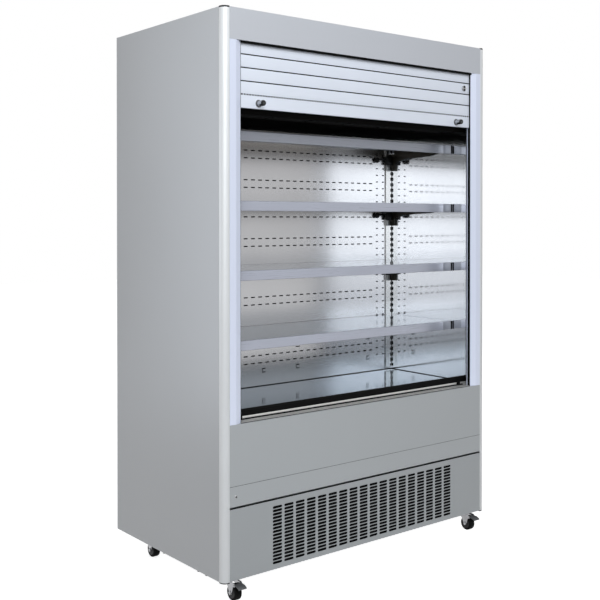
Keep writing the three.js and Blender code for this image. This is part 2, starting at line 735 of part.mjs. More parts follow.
function addGuide(side) {
  const web = GUIDE_CHANNEL;
  const tracks = [
    [web, LEAD_TRACK_BACK],
    [GUIDE_INNER_EDGE, LEAD_TRACK_BACK],
    [GUIDE_INNER_EDGE, REAR_TRACKS_START],
  ];
  for (let i = 0; i < REAR_CURTAINS; i += 1) {
    const start = REAR_TRACKS_START + i * REAR_PITCH;
    const end = start + REAR_TRACK;
    const finBack = i === REAR_CURTAINS - 1 ? GUIDE_DEPTH : end + REAR_FIN;
    tracks.push([web, start], [web, end], [INNER_WALL, end], [INNER_WALL, finBack]);
  }
  tracks.push([GUIDE_OUTER, GUIDE_DEPTH]);
  const cover = [
    [GUIDE_OUTER, 0],
    [GUIDE_OUTER + GUIDE_FLAT, 0],
    [GUIDE_INNER_EDGE, GUIDE_SLOPE_DEPTH],
    [GUIDE_INNER_EDGE, GUIDE_LIP_BACK],
    [web, GUIDE_LIP_BACK],
  ];
  const coverInHead = [[GUIDE_OUTER, GUIDE_LIP_BACK], [web, GUIDE_LIP_BACK]];
  const place = (points) => points.map(([x, y]) => [across(side, x), y]);
  const split = FASCIA_BOTTOM - GAP;
  const shown = prism('z', place([...cover, ...tracks]), [SILL_TOP + GAP, split]);
  const hidden = prism('z', place([...coverInHead, ...tracks]), [split, HEAD_TOP]);
  const plate = box(
    [across(side, SIDE_WALL + GAP), across(side, INNER_WALL)],
    [GUIDE_DEPTH - REAR_FIN, BARREL_Y + BARREL_PLATE_REACH],
    [BARREL_Z - BARREL_PLATE_DROP, HEAD_TOP],
  );
  const boreSpan = [across(side, SIDE_WALL - SHEET), across(side, INNER_WALL + SHEET)];
  const bore = boreFor('x', [BARREL_Y, BARREL_Z], BARREL_SHAFT, boreSpan);
  addNode(`guide_rail_${side}`, join(shown, hidden, plate).subtract(bore), ALUMINIUM);
}

// Bowed slats in (y, z) with a groove at each joint, as a closed outline with a hook at the top.
function curtainOutline(front, thickness, bottom, count) {
  const back = front + thickness;
  const top = bottom + count * SLAT_PITCH;
  const groove = front + SLAT_GROOVE;
  const outline = [[back, bottom]];
  for (let i = 0; i < count; i += 1) {
    const z = bottom + i * SLAT_PITCH;
    outline.push([groove, z]);
    outline.push([front + SLAT_BULGE, z + SLAT_BULGE]);
    outline.push([front, z + SLAT_PITCH / 2]);
    outline.push([front + SLAT_BULGE, z + SLAT_PITCH - SLAT_BULGE]);
  }
  outline.push([groove, top], [groove, top + SLAT_HOOK], [back, top + SLAT_HOOK]);
  return outline;
}

function addLocks(bottomRail, lockZ) {
  let rail = bottomRail;
  for (const side of ['left', 'right']) {
    const at = [across(side, LOCK_INSET), lockZ];
    rail = rail.subtract(boreFor('y', at, LOCK_RADIUS, [LOCK_FRONT, LOCK_REAR + SLAT_THICKNESS]));
    const lock = turned('y', at, [
      [LOCK_FRONT, LOCK_RADIUS - LOCK_CHAMFER],
      [LOCK_FRONT + LOCK_CHAMFER, LOCK_RADIUS],
      [LOCK_REAR, LOCK_RADIUS],
    ], 16);
    const keyway = box(
      [at[0] - KEYWAY_WIDTH / 2, at[0] + KEYWAY_WIDTH / 2],
      [LOCK_FRONT - SHEET, LOCK_FRONT + 2 * SHEET],
      [lockZ - KEYWAY_HEIGHT / 2, lockZ + KEYWAY_HEIGHT / 2],
    );
    addNode(`lock_barrel_${side}`, lock.subtract(keyway), CHROME);
  }
  return rail;
}

function addButton(x, z) {
  const front = SLAT_FRONT - BUTTON_RISE;
  const button = turned('y', [x, z], [
    [front, BUTTON_RADIUS - BUTTON_CHAMFER],
    [front + BUTTON_CHAMFER, BUTTON_RADIUS],
    [SLAT_FRONT - GAP, BUTTON_RADIUS],
  ], 12);
  const pinHoles = [-PIN_SPACING / 2, PIN_SPACING / 2].map((dz) => (
    rod('y', [x, z + dz], PIN_RADIUS, [front - SHEET, front + SHEET], 6)
  ));
  addNode('slat_button', cut(button, pinHoles), CHROME);
}

function addBarrel() {
  const shaftEnd = SIDE_WALL + 2 * GAP;
  const drumEnd = INNER_WALL + 3 * SHEET;
  const drum = rod('x', [BARREL_Y, BARREL_Z], BARREL_RADIUS, [drumEnd, WIDTH - drumEnd], 16);
  const shaft = rod('x', [BARREL_Y, BARREL_Z], BARREL_SHAFT, [shaftEnd, WIDTH - shaftEnd], 16);
  addNode('shutter_barrel', drum.add(shaft), GALVANISED);
}

function addShutter() {
  const span = [SLAT_LEFT, WIDTH - SLAT_LEFT];
  const railTop = SHUTTER_BOTTOM + RAIL_HEIGHT;
  const back = SLAT_FRONT + SLAT_THICKNESS;
  const rail = [
    [SLAT_FRONT + RAIL_CHAMFER, SHUTTER_BOTTOM],
    [back, SHUTTER_BOTTOM],
    [back, railTop],
    [SLAT_FRONT + RAIL_CHAMFER, railTop],
    [SLAT_FRONT, railTop - RAIL_CHAMFER],
    [SLAT_FRONT, SHUTTER_BOTTOM + RAIL_CHAMFER],
  ];
  const bottomRail = addLocks(prism('x', rail, span), SHUTTER_BOTTOM + LOCK_RISE);
  addNode('shutter_bottom_rail', bottomRail, ALUMINIUM);
  const slatsBottom = railTop + GAP;
  const lead = curtainOutline(SLAT_FRONT, SLAT_THICKNESS, slatsBottom, LEAD_SLATS);
  addNode('shutter_curtain_1', prism('x', lead, span), ALUMINIUM);
  addButton(WIDTH - BUTTON_INSET, slatsBottom + 2.5 * SLAT_PITCH);
  for (let i = 0; i < REAR_CURTAINS; i += 1) {
    const front = REAR_TRACKS_START + i * REAR_PITCH + REAR_CLEARANCE;
    const thickness = REAR_TRACK - 2 * REAR_CLEARANCE;
    const outline = curtainOutline(front, thickness, SHUTTER_BOTTOM + REAR_LIFT, REAR_SLATS);
    addNode(`shutter_curtain_${i + 2}`, prism('x', outline, span), ALUMINIUM);
  }
  addBarrel();
}

// ---- base and castors ----

function castorStems() {
  const rear = DEPTH - STEM_REAR_INSET;
  return [
    { name: 'front_left', x: STEM_INSET, y: STEM_FRONT_Y, brake: true },
    { name: 'front_right', x: WIDTH - STEM_INSET, y: STEM_FRONT_Y, brake: true },
    { name: 'rear_left', x: STEM_INSET, y: rear, brake: false },
    { name: 'rear_right', x: WIDTH - STEM_INSET, y: rear, brake: false },
  ];
}

const PLATE_BOTTOM = -BASE_SHEET;
const SWIVEL_TOP = PLATE_BOTTOM - GAP;
const SWIVEL_BOTTOM = SWIVEL_TOP - SWIVEL_HEIGHT;
const CROWN_BOTTOM = SWIVEL_BOTTOM - FORK_CROWN;
const KINGPIN_END = CROWN_BOTTOM - SHEET;

// Base tray, with a castor plate and a headed kingpin over each castor.
function addBase() {
  const inner = SIDE_WALL + GAP;
  const span = [inner, WIDTH - inner];
  const front = PANEL_RETURN + GAP;
  const back = DEPTH - PANEL_RETURN - GAP;
  let base = join(
    box(span, [front, back], [0, BASE_SHEET]),
    box(span, [front, front + SHEET], [0, BASE_FLANGE]),
    box(span, [back - SHEET, back], [0, BASE_FLANGE]),
  );
  const half = CASTOR_PLATE / 2;
  for (const { x, y } of castorStems()) {
    base = base.add(box([x - half, x + half], [y - half + GAP, y + half], [PLATE_BOTTOM, 0]));
    base = base.add(rod('z', [x, y], KINGPIN_RADIUS, [KINGPIN_END, PLATE_BOTTOM + SHEET], 8));
    base = base.add(rod('z', [x, y], SWIVEL_RADIUS / 2, [KINGPIN_END - KINGPIN_HEAD, KINGPIN_END], 6));
  }
  addNode('base_frame', base, GALVANISED);
}

// Castor in its own group, with the swivel axis at its origin and the wheel trailing to the front.
function addCastor({ name, x, y, brake }) {
  const castor = addGroup(`castor_at_${name}`, body, [x, y, 0]);
  const axle = [-CASTOR_TRAIL, FLOOR + WHEEL_RADIUS];
  const pivot = [-PEDAL_PIVOT, -PEDAL_PIVOT_DROP];
  const half = WHEEL_WIDTH / 2;
  const armInner = half + FORK_SIDE_GAP;
  const armOuter = armInner + FORK_SHEET;
  const fork = castorFork(axle, pivot, armInner, armOuter, brake);
  addNode(`castor_fork_${name}`, fork, CHROME, castor);

  const shoulder = half - HUB_STEP;
  const tyre = turned('x', axle, [
    [-shoulder, WHEEL_RADIUS - WHEEL_SHOULDER],
    [WHEEL_SHOULDER - shoulder, WHEEL_RADIUS],
    [shoulder - WHEEL_SHOULDER, WHEEL_RADIUS],
    [shoulder, WHEEL_RADIUS - WHEEL_SHOULDER],
  ], 18);
  const hub = rod('x', axle, HUB_RADIUS, [-half, half], 8);
  const bore = boreFor('x', axle, AXLE_RADIUS, [-armInner, armInner], 8);
  addNode(`castor_wheel_${name}`, tyre.add(hub).subtract(bore), RUBBER, castor);

  if (brake) {
    addNode(`brake_pedal_${name}`, brakePedal(pivot, armInner - GAP), PEDAL_GREY, castor);
  }
}

function castorFork(axle, pivot, armInner, armOuter, brake) {
  const [axleY, axleZ] = axle;
  const [pivotY, pivotZ] = pivot;
  const eye = AXLE_RADIUS + SHEET;
  const nose = pivotY - PEDAL_HUB;
  const arm = [
    [FORK_REAR, SWIVEL_BOTTOM],
    [pivotY + PEDAL_PIN, SWIVEL_BOTTOM],
    [nose, pivotZ + PEDAL_HUB],
    [nose, pivotZ - PEDAL_HUB],
    [axleY - eye, axleZ - eye],
    [axleY + eye, axleZ - eye],
    [FORK_REAR, pivotZ],
  ];
  const head = turned('z', [0, 0], [
    [SWIVEL_BOTTOM, SWIVEL_RADIUS - PEDAL_HUB],
    [SWIVEL_BOTTOM + FORK_SHEET, SWIVEL_RADIUS],
    [SWIVEL_TOP, SWIVEL_RADIUS],
  ], 14);
  const crown = box([-armOuter, armOuter], [-FORK_FRONT, FORK_REAR], [CROWN_BOTTOM, SWIVEL_BOTTOM]);
  const leftArm = prism('x', arm, [-armOuter, -armInner]);
  const rightArm = prism('x', arm, [armInner, armOuter]);
  const bore = boreFor('z', [0, 0], KINGPIN_RADIUS, [KINGPIN_END, 0], 8);
  const nutEnd = armOuter + AXLE_NUT;
  const shaft = rod('x', axle, AXLE_RADIUS, [-armOuter, armOuter], 8);
  const leftNut = rod('x', axle, eye, [-nutEnd, -armOuter], 6);
  const rightNut = rod('x', axle, eye, [armOuter, nutEnd], 6);
  const fork = join(head, crown, leftArm, rightArm).subtract(bore);
  const withAxle = join(fork, shaft, leftNut, rightNut);
  return brake ? withAxle.add(rod('x', pivot, PEDAL_PIN, [-armOuter, armOuter], 6)) : withAxle;
}

// Pedal with a hub between the fork's arms and a tread that is wider in front of them.
function brakePedal([pivotY, pivotZ], hubHalf) {
  const tipY = -PEDAL_REACH;
  const thin = PEDAL_HUB / 2;
  const tread = [
    [pivotY, pivotZ + PEDAL_HUB - GAP],
    [pivotY, pivotZ - thin / 2],
    [tipY + 5 * thin, pivotZ - thin],
    [tipY, pivotZ - 3 * thin],
    [tipY, pivotZ - 1.8 * thin],
    [tipY + 5 * thin, pivotZ + thin],
  ];
  const half = PEDAL_TREAD_WIDTH / 2;
  const armFront = pivotY - PEDAL_HUB - FORK_SHEET / 2;
  const wideZone = box([-half, half], [tipY - thin, armFront], [pivotZ - half, pivotZ + half]);
  const pin = boreFor('x', [pivotY, pivotZ], PEDAL_PIN, [-half, half], 6);
  return join(
    rod('x', [pivotY, pivotZ], PEDAL_HUB, [-hubHalf, hubHalf], 8),
    prism('x', tread, [-hubHalf, hubHalf]),
    prism('x', tread, [-half, half]).intersect(wideZone),
  ).subtract(pin);
}

// ---- refrigeration ----

function bladeRing(axis, at, [from, to], hubRadius, tipRadius, tilt) {
  const count = 5;
  const middle = (from + to) / 2;
  const root = hubRadius * 0.7;
  const length = tipRadius - root;
  let ring = rod(axis, at, hubRadius, [from, to], 10);
  for (let i = 0; i < count; i += 1) {
    const blade = new THREE.BoxGeometry(length, tipRadius * 0.62, FAN_BLADE);
    blade.rotateX(tilt);
    blade.translate(root + length / 2, 0, 0);
    blade.rotateZ((i * 2 * Math.PI) / count);
    if (axis === 'y') {
      blade.rotateX(Math.PI / 2);
      blade.translate(at[0], middle, at[1]);
    } else {
      blade.translate(at[0], at[1], middle);
    }
    ring = ring.add(toSolid(blade));
  }
  return ring;
}

// Finned core with a fan shroud behind it. A strut over the shroud's back carries the motor.
function addCondenser() {
  const x = CONDENSER_FAN_X;
  const z = CONDENSER_FAN_Z;
  const coreHalf = CONDENSER_LENGTH / 2;
  const coreBack = CONDENSER_FRONT + CONDENSER_DEPTH;
  const back = coreBack + SHROUD_DEPTH;
  const bottom = z - SHROUD_BELOW;
  const top = z + SHROUD_ABOVE;
  const coreTop = CONDENSER_BOTTOM + CONDENSER_HEIGHT;
  const shroudSpan = [x - SHROUD_HALF, x + SHROUD_HALF];
  const core = box([x - coreHalf, x + coreHalf], [CONDENSER_FRONT, coreBack], [CONDENSER_BOTTOM, coreTop]);
  const throat = rod('y', [x, z], CONDENSER_THROAT, [coreBack, back + SHEET], 20);
  const shroud = box(shroudSpan, [coreBack - SHEET, back], [bottom, top]).subtract(throat);
  const foot = box(shroudSpan, [CONDENSER_FRONT, back], [BASE_SHEET, CONDENSER_BOTTOM + SHEET]);
  const strutSpan = [x - STRUT_WIDTH / 2, x + STRUT_WIDTH / 2];
  const strut = box(strutSpan, [back - GAP, back + STRUT_DEPTH], [bottom, top]);
  const motorEnd = back + CONDENSER_MOTOR_LENGTH;
  const motor = rod('y', [x, z], CONDENSER_MOTOR_RADIUS, [back, motorEnd], 12);
  const fanStart = coreBack + 2 * FAN_CLEARANCE;
  const fanEnd = fanStart + CONDENSER_BLADES;
  const shaft = rod('y', [x, z], CONDENSER_SHAFT, [fanStart, back + SHEET], 8);
  addNode('condenser', join(core, shroud, foot, strut, motor, shaft), GALVANISED);
  const tip = CONDENSER_THROAT - FAN_CLEARANCE;
  const fan = bladeRing('y', [x, z], [fanStart, fanEnd], CONDENSER_HUB, tip, 0.5);
  const bore = boreFor('y', [x, z], CONDENSER_SHAFT, [coreBack, back], 8);
  addNode('condenser_fan', fan.subtract(bore), BLACK_PLASTIC);
}

// Welded dome on a foot plate with four rubber feet, a terminal box and a process pipe.
function addCompressor() {
  const x = COMPRESSOR_X;
  const y = COMPRESSOR_Y;
  const r = COMPRESSOR_RADIUS;
  const bottom = COMPRESSOR_BOTTOM;
  const top = bottom + COMPRESSOR_HEIGHT;
  const halfLength = COMPRESSOR_PLATE_LENGTH / 2;
  const halfDepth = COMPRESSOR_PLATE_DEPTH / 2;
  const dome = turned('z', [x, y], [
    [bottom, r * 0.86],
    [bottom + r * 0.2, r],
    [top - r * 0.6, r],
    [top - r * 0.22, r * 0.84],
    [top, r * 0.43],
  ], 16);
  const plateZ = [bottom - SHEET, bottom + BASE_SHEET];
  let unit = dome.add(box([x - halfLength, x + halfLength], [y - halfDepth, y + halfDepth], plateZ));
  for (const sx of [-1, 1]) {
    for (const sy of [-1, 1]) {
      const at = [
        x + sx * (halfLength - COMPRESSOR_FOOT_INSET),
        y + sy * (halfDepth - COMPRESSOR_FOOT_INSET),
      ];
      unit = unit.add(rod('z', at, COMPRESSOR_FOOT_RADIUS, [BASE_SHEET, bottom], 8));
    }
  }
  const boxHalf = TERMINAL_BOX / 2;
  const boxSpan = [x + r - STRUT_WIDTH / 2, x + r + boxHalf];
  const boxZ = [bottom + TERMINAL_BOX, bottom + 2 * TERMINAL_BOX];
  const terminal = box(boxSpan, [y - boxHalf, y + boxHalf], boxZ);
  const pipeAt = [x - 0.6 * r, y + 0.4 * r];
  const pipe = rod('z', pipeAt, PROCESS_PIPE_RADIUS, [top - 0.6 * r, PROCESS_PIPE_TOP], 6);
  addNode('compressor', join(unit, terminal, pipe), BLACK_PAINT);
}

// Finned core on a hanger in the back duct, with a fan housing under it.
function addEvaporator() {
  const inner = INNER_WALL + GAP;
  const end = inner + EVAPORATOR_END;
  const bottom = DECK_TOP + EVAPORATOR_RISE;
  const top = bottom + EVAPORATOR_HEIGHT;
  const depth = [BACK_PANEL_FRONT + SHEET + EVAPORATOR_FRONT_GAP, REAR_WALL_FRONT - EVAPORATOR_REAR_GAP];
  const x = WIDTH / 2;
  const y = (depth[0] + depth[1]) / 2;
  const half = EVAPORATOR_FAN_HALF;
  const plateZ = bottom - EVAPORATOR_FAN_DROP;
  const barZ = plateZ - EVAPORATOR_BAR_DROP;
  const barDepth = [y - HUB_RADIUS, y + HUB_RADIUS];
  const reach = (depth[1] - depth[0]) / 2 - EVAPORATOR_FAN_MARGIN;

  const core = box([end, WIDTH - end], depth, [bottom, top]);
  const hangerDepth = [depth[0] + EVAPORATOR_REAR_GAP, depth[1] - EVAPORATOR_REAR_GAP];
  const hanger = box([inner, WIDTH - inner], hangerDepth, [top - FAN_CLEARANCE, top]);
  const throat = rod('z', [x, y], reach, [plateZ - FAN_PLATE, plateZ + 2 * FAN_PLATE], 16);
  const plate = box([x - half, x + half], depth, [plateZ, plateZ + FAN_PLATE]).subtract(throat);
  const bar = box([x - half, x + half], barDepth, [barZ, barZ + FAN_PLATE]);
  const walls = [x - half, x + half - FAN_PLATE].map((wallX) => {
    const wall = box([wallX, wallX + FAN_PLATE], depth, [plateZ, bottom + SHEET]);
    return wall.add(box([wallX, wallX + FAN_PLATE], barDepth, [barZ, plateZ + SHEET]));
  });
  const motorTop = barZ + FAN_PLATE;
  const motorBottom = motorTop - EVAPORATOR_MOTOR_LENGTH;
  const motor = rod('z', [x, y], EVAPORATOR_MOTOR_RADIUS, [motorBottom, motorTop], 12);
  const fanBottom = plateZ - 2 * FAN_CLEARANCE;
  const fanTop = fanBottom + EVAPORATOR_BLADES;
  const shaft = rod('z', [x, y], EVAPORATOR_SHAFT, [barZ, fanTop - 2 * SHEET], 8);
  addNode('evaporator', join(core, hanger, plate, bar, ...walls, motor, shaft), GALVANISED);
  const tip = reach - FAN_CLEARANCE;
  const fan = bladeRing('z', [x, y], [fanBottom, fanTop], EVAPORATOR_HUB, tip, 0.45);
  const bore = boreFor('z', [x, y], EVAPORATOR_SHAFT, [barZ, bottom], 8);
  addNode('evaporator_fan', fan.subtract(bore), BLACK_PLASTIC);
}

// ---- assembly ----

for (const side of ['left', 'right']) {
  addSidePanel(side);
  addCornerPost(side);
  addLiner(side);
  addUpright(side);
  addGuide(side);
}
addFascia();
addRoof();
addRear();
addLowerFront();
addTub();
addDeck();
addInnerBack();
addCanopy();
for (let index = 0; index < SHELF_COUNT; index += 1) {
  const unit = addGroup(`shelf_unit_${index + 1}`, body, [0, 0, TOP_SHELF - index * SHELF_SPACING]);
  addShelf(index, unit);
  addShelfBrackets(index, unit);
}
addShutter();
addBase();
castorStems().forEach(addCastor);
addCondenser();
addCompressor();
addEvaporator();

export default part;
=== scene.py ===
"""Looks of an open display refrigerator with a roll-down slatted shutter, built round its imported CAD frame.

Lengths in the code are millimetres in the cabinet's own layout: x from the left side, y from the front
face to the back, z from the underside of the body. at() turns them into the frame's metres.
"""

import math

import bmesh
import bpy
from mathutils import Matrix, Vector


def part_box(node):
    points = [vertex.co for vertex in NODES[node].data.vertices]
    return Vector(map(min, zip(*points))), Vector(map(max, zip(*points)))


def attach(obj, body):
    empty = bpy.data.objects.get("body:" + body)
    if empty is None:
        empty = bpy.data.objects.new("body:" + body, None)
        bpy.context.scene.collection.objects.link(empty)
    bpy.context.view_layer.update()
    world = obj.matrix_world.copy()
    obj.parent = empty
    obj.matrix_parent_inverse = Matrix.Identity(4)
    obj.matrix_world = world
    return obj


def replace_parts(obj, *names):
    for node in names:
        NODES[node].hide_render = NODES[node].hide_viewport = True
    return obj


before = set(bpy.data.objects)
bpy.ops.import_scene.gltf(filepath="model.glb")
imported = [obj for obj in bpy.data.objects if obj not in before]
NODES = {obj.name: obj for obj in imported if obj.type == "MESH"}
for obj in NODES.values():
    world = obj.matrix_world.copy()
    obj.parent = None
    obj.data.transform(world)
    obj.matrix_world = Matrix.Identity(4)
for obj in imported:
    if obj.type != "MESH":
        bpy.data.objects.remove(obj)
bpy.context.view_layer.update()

MM = 0.001
SIDES = ("left", "right")
FRONT_CORNERS = ("front_left", "front_right")
CORNERS = (*FRONT_CORNERS, "rear_left", "rear_right")
SHELVES = range(1, 5)
# Sections of the shutter, from the front one to the one that stays, with the bodies that they ride on.
CURTAIN_BODIES = {1: "shutter", 2: "curtain_2", 3: "curtain_3", 4: "curtain_4", 5: "cabinet"}

side_low, side_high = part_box("side_panel_left")
front_low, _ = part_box("front_panel")
_, right_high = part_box("side_panel_right")
BASE = Vector((side_low.x, front_low.y, side_low.z))


def at(x, y, z):
    """Point in the cabinet's layout, in metres of the frame."""
    return BASE + Vector((x, y, z)) * MM


def span(node, axis):
    """Lowest and highest value of a CAD node along an axis, in the cabinet's layout."""
    low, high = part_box(node)
    return (low[axis] - BASE[axis]) / MM, (high[axis] - BASE[axis]) / MM


def middle(node, axis):
    """Middle of a CAD node along an axis, in the cabinet's layout."""
    return sum(span(node, axis)) / 2


WIDTH = (right_high.x - BASE.x) / MM
DEPTH = (side_high.y - BASE.y) / MM
HEIGHT = (side_high.z - BASE.z) / MM


# ---------------------------------------------------------------- camera

# Fitted to the cabinet's straight edges: place in the layout, angles in degrees, focal length and the row
# of the lens axis in pixels of a 600 pixel picture.
CAMERA_AT = (-1630.5, -2402.4, 1109.9)
CAMERA_YAW = 38.76
CAMERA_DOWN = 0.532
FOCAL_PIXELS = 955.54
PHOTO_SIZE = 600
AXIS_ROW = 228.22
SENSOR = 36.0

camera_data = bpy.data.cameras.new("camera")
camera_data.sensor_width = SENSOR
camera_data.lens = FOCAL_PIXELS * SENSOR / PHOTO_SIZE
camera_data.shift_y = (AXIS_ROW - PHOTO_SIZE / 2) / PHOTO_SIZE
camera = bpy.data.objects.new("camera", camera_data)
camera.location = at(*CAMERA_AT)
camera.rotation_euler = (math.radians(90 - CAMERA_DOWN), 0, math.radians(-CAMERA_YAW))
bpy.context.scene.collection.objects.link(camera)
bpy.context.scene.camera = camera


# ---------------------------------------------------------------- materials

class Shader:
    """A Principled material with a few shorthands for its nodes."""

    def __init__(self, name, metallic=0.0, specular=0.5):
        self.material = bpy.data.materials.new(name)
        self.material.use_nodes = True
        self.tree = self.material.node_tree
        self.bsdf = self.tree.nodes["Principled BSDF"]
        self.bsdf.inputs["Metallic"].default_value = metallic
        self.bsdf.inputs["Specular IOR Level"].default_value = specular
        self.coords = self.tree.nodes.new("ShaderNodeTexCoord")

    def link(self, a, b):
        self.tree.links.new(a, b)

    def noise(self, scale, detail=3.0, stretch=(1, 1, 1)):
        """Noise in object space, with its scale per metre."""
        mapping = self.tree.nodes.new("ShaderNodeMapping")
        mapping.inputs["Scale"].default_value = stretch
        self.link(self.coords.outputs["Object"], mapping.inputs["Vector"])
        node = self.tree.nodes.new("ShaderNodeTexNoise")
        node.inputs["Scale"].default_value = scale
        node.inputs["Detail"].default_value = detail
        self.link(mapping.outputs["Vector"], node.inputs["Vector"])
        return node.outputs["Fac"]

    def ranged(self, value, low, high, start=0.3, end=0.7):
        """Value from start to end, spread over low to high. Noise lies mostly between 0.3 and 0.7."""
        node = self.tree.nodes.new("ShaderNodeMapRange")
        node.inputs["From Min"].default_value = start
        node.inputs["From Max"].default_value = end
        node.inputs["To Min"].default_value = low
        node.inputs["To Max"].default_value = high
        self.link(value, node.inputs["Value"])
        return node.outputs["Result"]

    def mix(self, factor, a, b):
        """Blend of two colours, or of two sockets."""
        node = self.tree.nodes.new("ShaderNodeMix")
        node.data_type = "RGBA"
        for socket, value in ((node.inputs[6], a), (node.inputs[7], b)):
            if isinstance(value, tuple):
                socket.default_value = (*value[:3], 1)
            else:
                self.link(value, socket)
        if isinstance(factor, float):
            node.inputs[0].default_value = factor
        else:
            self.link(factor, node.inputs[0])
        return node.outputs[2]

    def colour(self, value):
        self.link(value, self.bsdf.inputs["Base Color"])

    def roughness(self, value):
        self.link(value, self.bsdf.inputs["Roughness"])

    def bump(self, height, strength, distance=0.0005):
        node = self.tree.nodes.new("ShaderNodeBump")
        node.inputs["Strength"].default_value = strength
        node.inputs["Distance"].default_value = distance
        self.link(height, node.inputs["Height"])
        self.link(node.outputs["Normal"], self.bsdf.inputs["Normal"])


def shade(colour, factor):
    """The same colour, darker or lighter."""
    return tuple(min(1.0, c * factor) for c in colour)


def linear(level, tint=(0, 0, 0)):
    """Linear colour of an 8-bit grey level, with an offset per channel in levels."""
    values = []
    for offset in tint:
        c = (level + offset) / 255
        values.append(c / 12.92 if c <= 0.04045 else ((c + 0.055) / 1.055) ** 2.4)
    return tuple(values)


def painted(name, colour, rough=0.42, metallic=0.15, specular=0.5):
    """Satin metallic paint: fine flake, faint orange peel, and slow changes of tone."""
    s = Shader(name, metallic=metallic, specular=specular)
    flake = s.noise(2600, detail=1)
    slow = s.noise(1.7, detail=2)
    base = s.mix(s.ranged(flake, 0, 1), shade(colour, 0.93), shade(colour, 1.06))
    s.colour(s.mix(s.ranged(slow, 0, 1), base, s.mix(0.12, base, shade(colour, 0.8))))
    s.roughness(s.ranged(s.noise(2.5, detail=1), rough - 0.02, rough + 0.02))
    s.bump(s.noise(420, detail=2), 0.02)
    return s.material


LINE_SCALE = 900
LINE_STRETCH = 0.012


def brushed_lines(s, along):
    """Fine lines along one axis."""
    return s.noise(LINE_SCALE, stretch=tuple(LINE_STRETCH if axis == along else 1 for axis in "xyz"))


def brushed(name, colour, along="x", rough=0.3, contrast=0.03, metallic=1.0, bump=0.08, streaks=0.65,
            spread=0.17):
    """Brushed sheet metal. Its roughness varies by spread, and streaks is the share of the lines in that."""
    s = Shader(name, metallic=metallic)
    lines = brushed_lines(s, along)
    smudge = s.noise(5, detail=4)
    base = s.mix(s.ranged(lines, 0, 1), shade(colour, 1 - contrast), shade(colour, 1 + contrast / 2))
    s.colour(s.mix(s.ranged(smudge, 0, 0.25), base, shade(colour, 0.86)))
    s.roughness(s.ranged(s.mix(1 - streaks, lines, smudge), rough * (1 - spread), rough * (1 + spread)))
    if bump:
        s.bump(lines, bump, 0.0002)
    return s.material


def plastic(name, colour, rough=0.5, grain=1400, strength=0.12, specular=0.4):
    """Matt plastic or rubber with a fine grain."""
    s = Shader(name, specular=specular)
    fine = s.noise(grain, detail=2)
    s.colour(s.mix(s.ranged(s.noise(14, detail=4), 0, 1), shade(colour, 0.8), shade(colour, 1.25)))
    s.roughness(s.ranged(fine, rough - 0.08, rough + 0.08))
    s.bump(fine, strength, 0.0002)
    return s.material


def galvanised(name, colour):
    """Zinc-coated steel with spangle."""
    s = Shader(name, metallic=0.9)
    cells = s.tree.nodes.new("ShaderNodeTexVoronoi")
    cells.inputs["Scale"].default_value = 90
    s.link(s.coords.outputs["Object"], cells.inputs["Vector"])
    tone = s.ranged(cells.outputs["Distance"], 0, 1, 0, 0.8)
    s.colour(s.mix(tone, shade(colour, 0.85), shade(colour, 1.12)))
    s.roughness(s.ranged(s.noise(30, detail=3), 0.35, 0.55))
    s.bump(s.noise(200, detail=2), 0.08)
    return s.material


def chromed(name, colour):
    """Plated steel, slightly uneven."""
    s = Shader(name, metallic=1.0)
    s.colour(s.mix(s.ranged(s.noise(60, detail=4), 0, 1), shade(colour, 0.9), shade(colour, 1.05)))
    s.roughness(s.ranged(s.noise(240, detail=3), 0.08, 0.2))
    s.bump(s.noise(500, detail=2), 0.03)
    return s.material


# Plane where the guide rails turn from their bright cover to near-black tracks, partly dark lining and partly
# painted shade.
TRACKS_FROM = at(0, 27.2, 0).y
TRACKS_EDGE = 0.0002


def guide_finish(name, colour, dark, limit):
    """Bright cover in front of a plane across y, and dark tracks behind it: partly their dark lining, partly
    painted shade inside them.
    """
    s = Shader(name)
    split = s.tree.nodes.new("ShaderNodeSeparateXYZ")
    s.link(s.coords.outputs["Object"], split.inputs[0])
    behind = s.ranged(split.outputs["Y"], 0, 1, limit - TRACKS_EDGE, limit + TRACKS_EDGE)
    lines = brushed_lines(s, "z")
    bright = s.mix(s.ranged(lines, 0, 1), shade(colour, 0.98), shade(colour, 1.01))
    s.colour(s.mix(behind, bright, dark))
    s.roughness(s.ranged(behind, 0.34, 0.8, 0, 1))
    s.link(s.ranged(behind, 0.35, 0.0, 0, 1), s.bsdf.inputs["Metallic"])
    return s.material


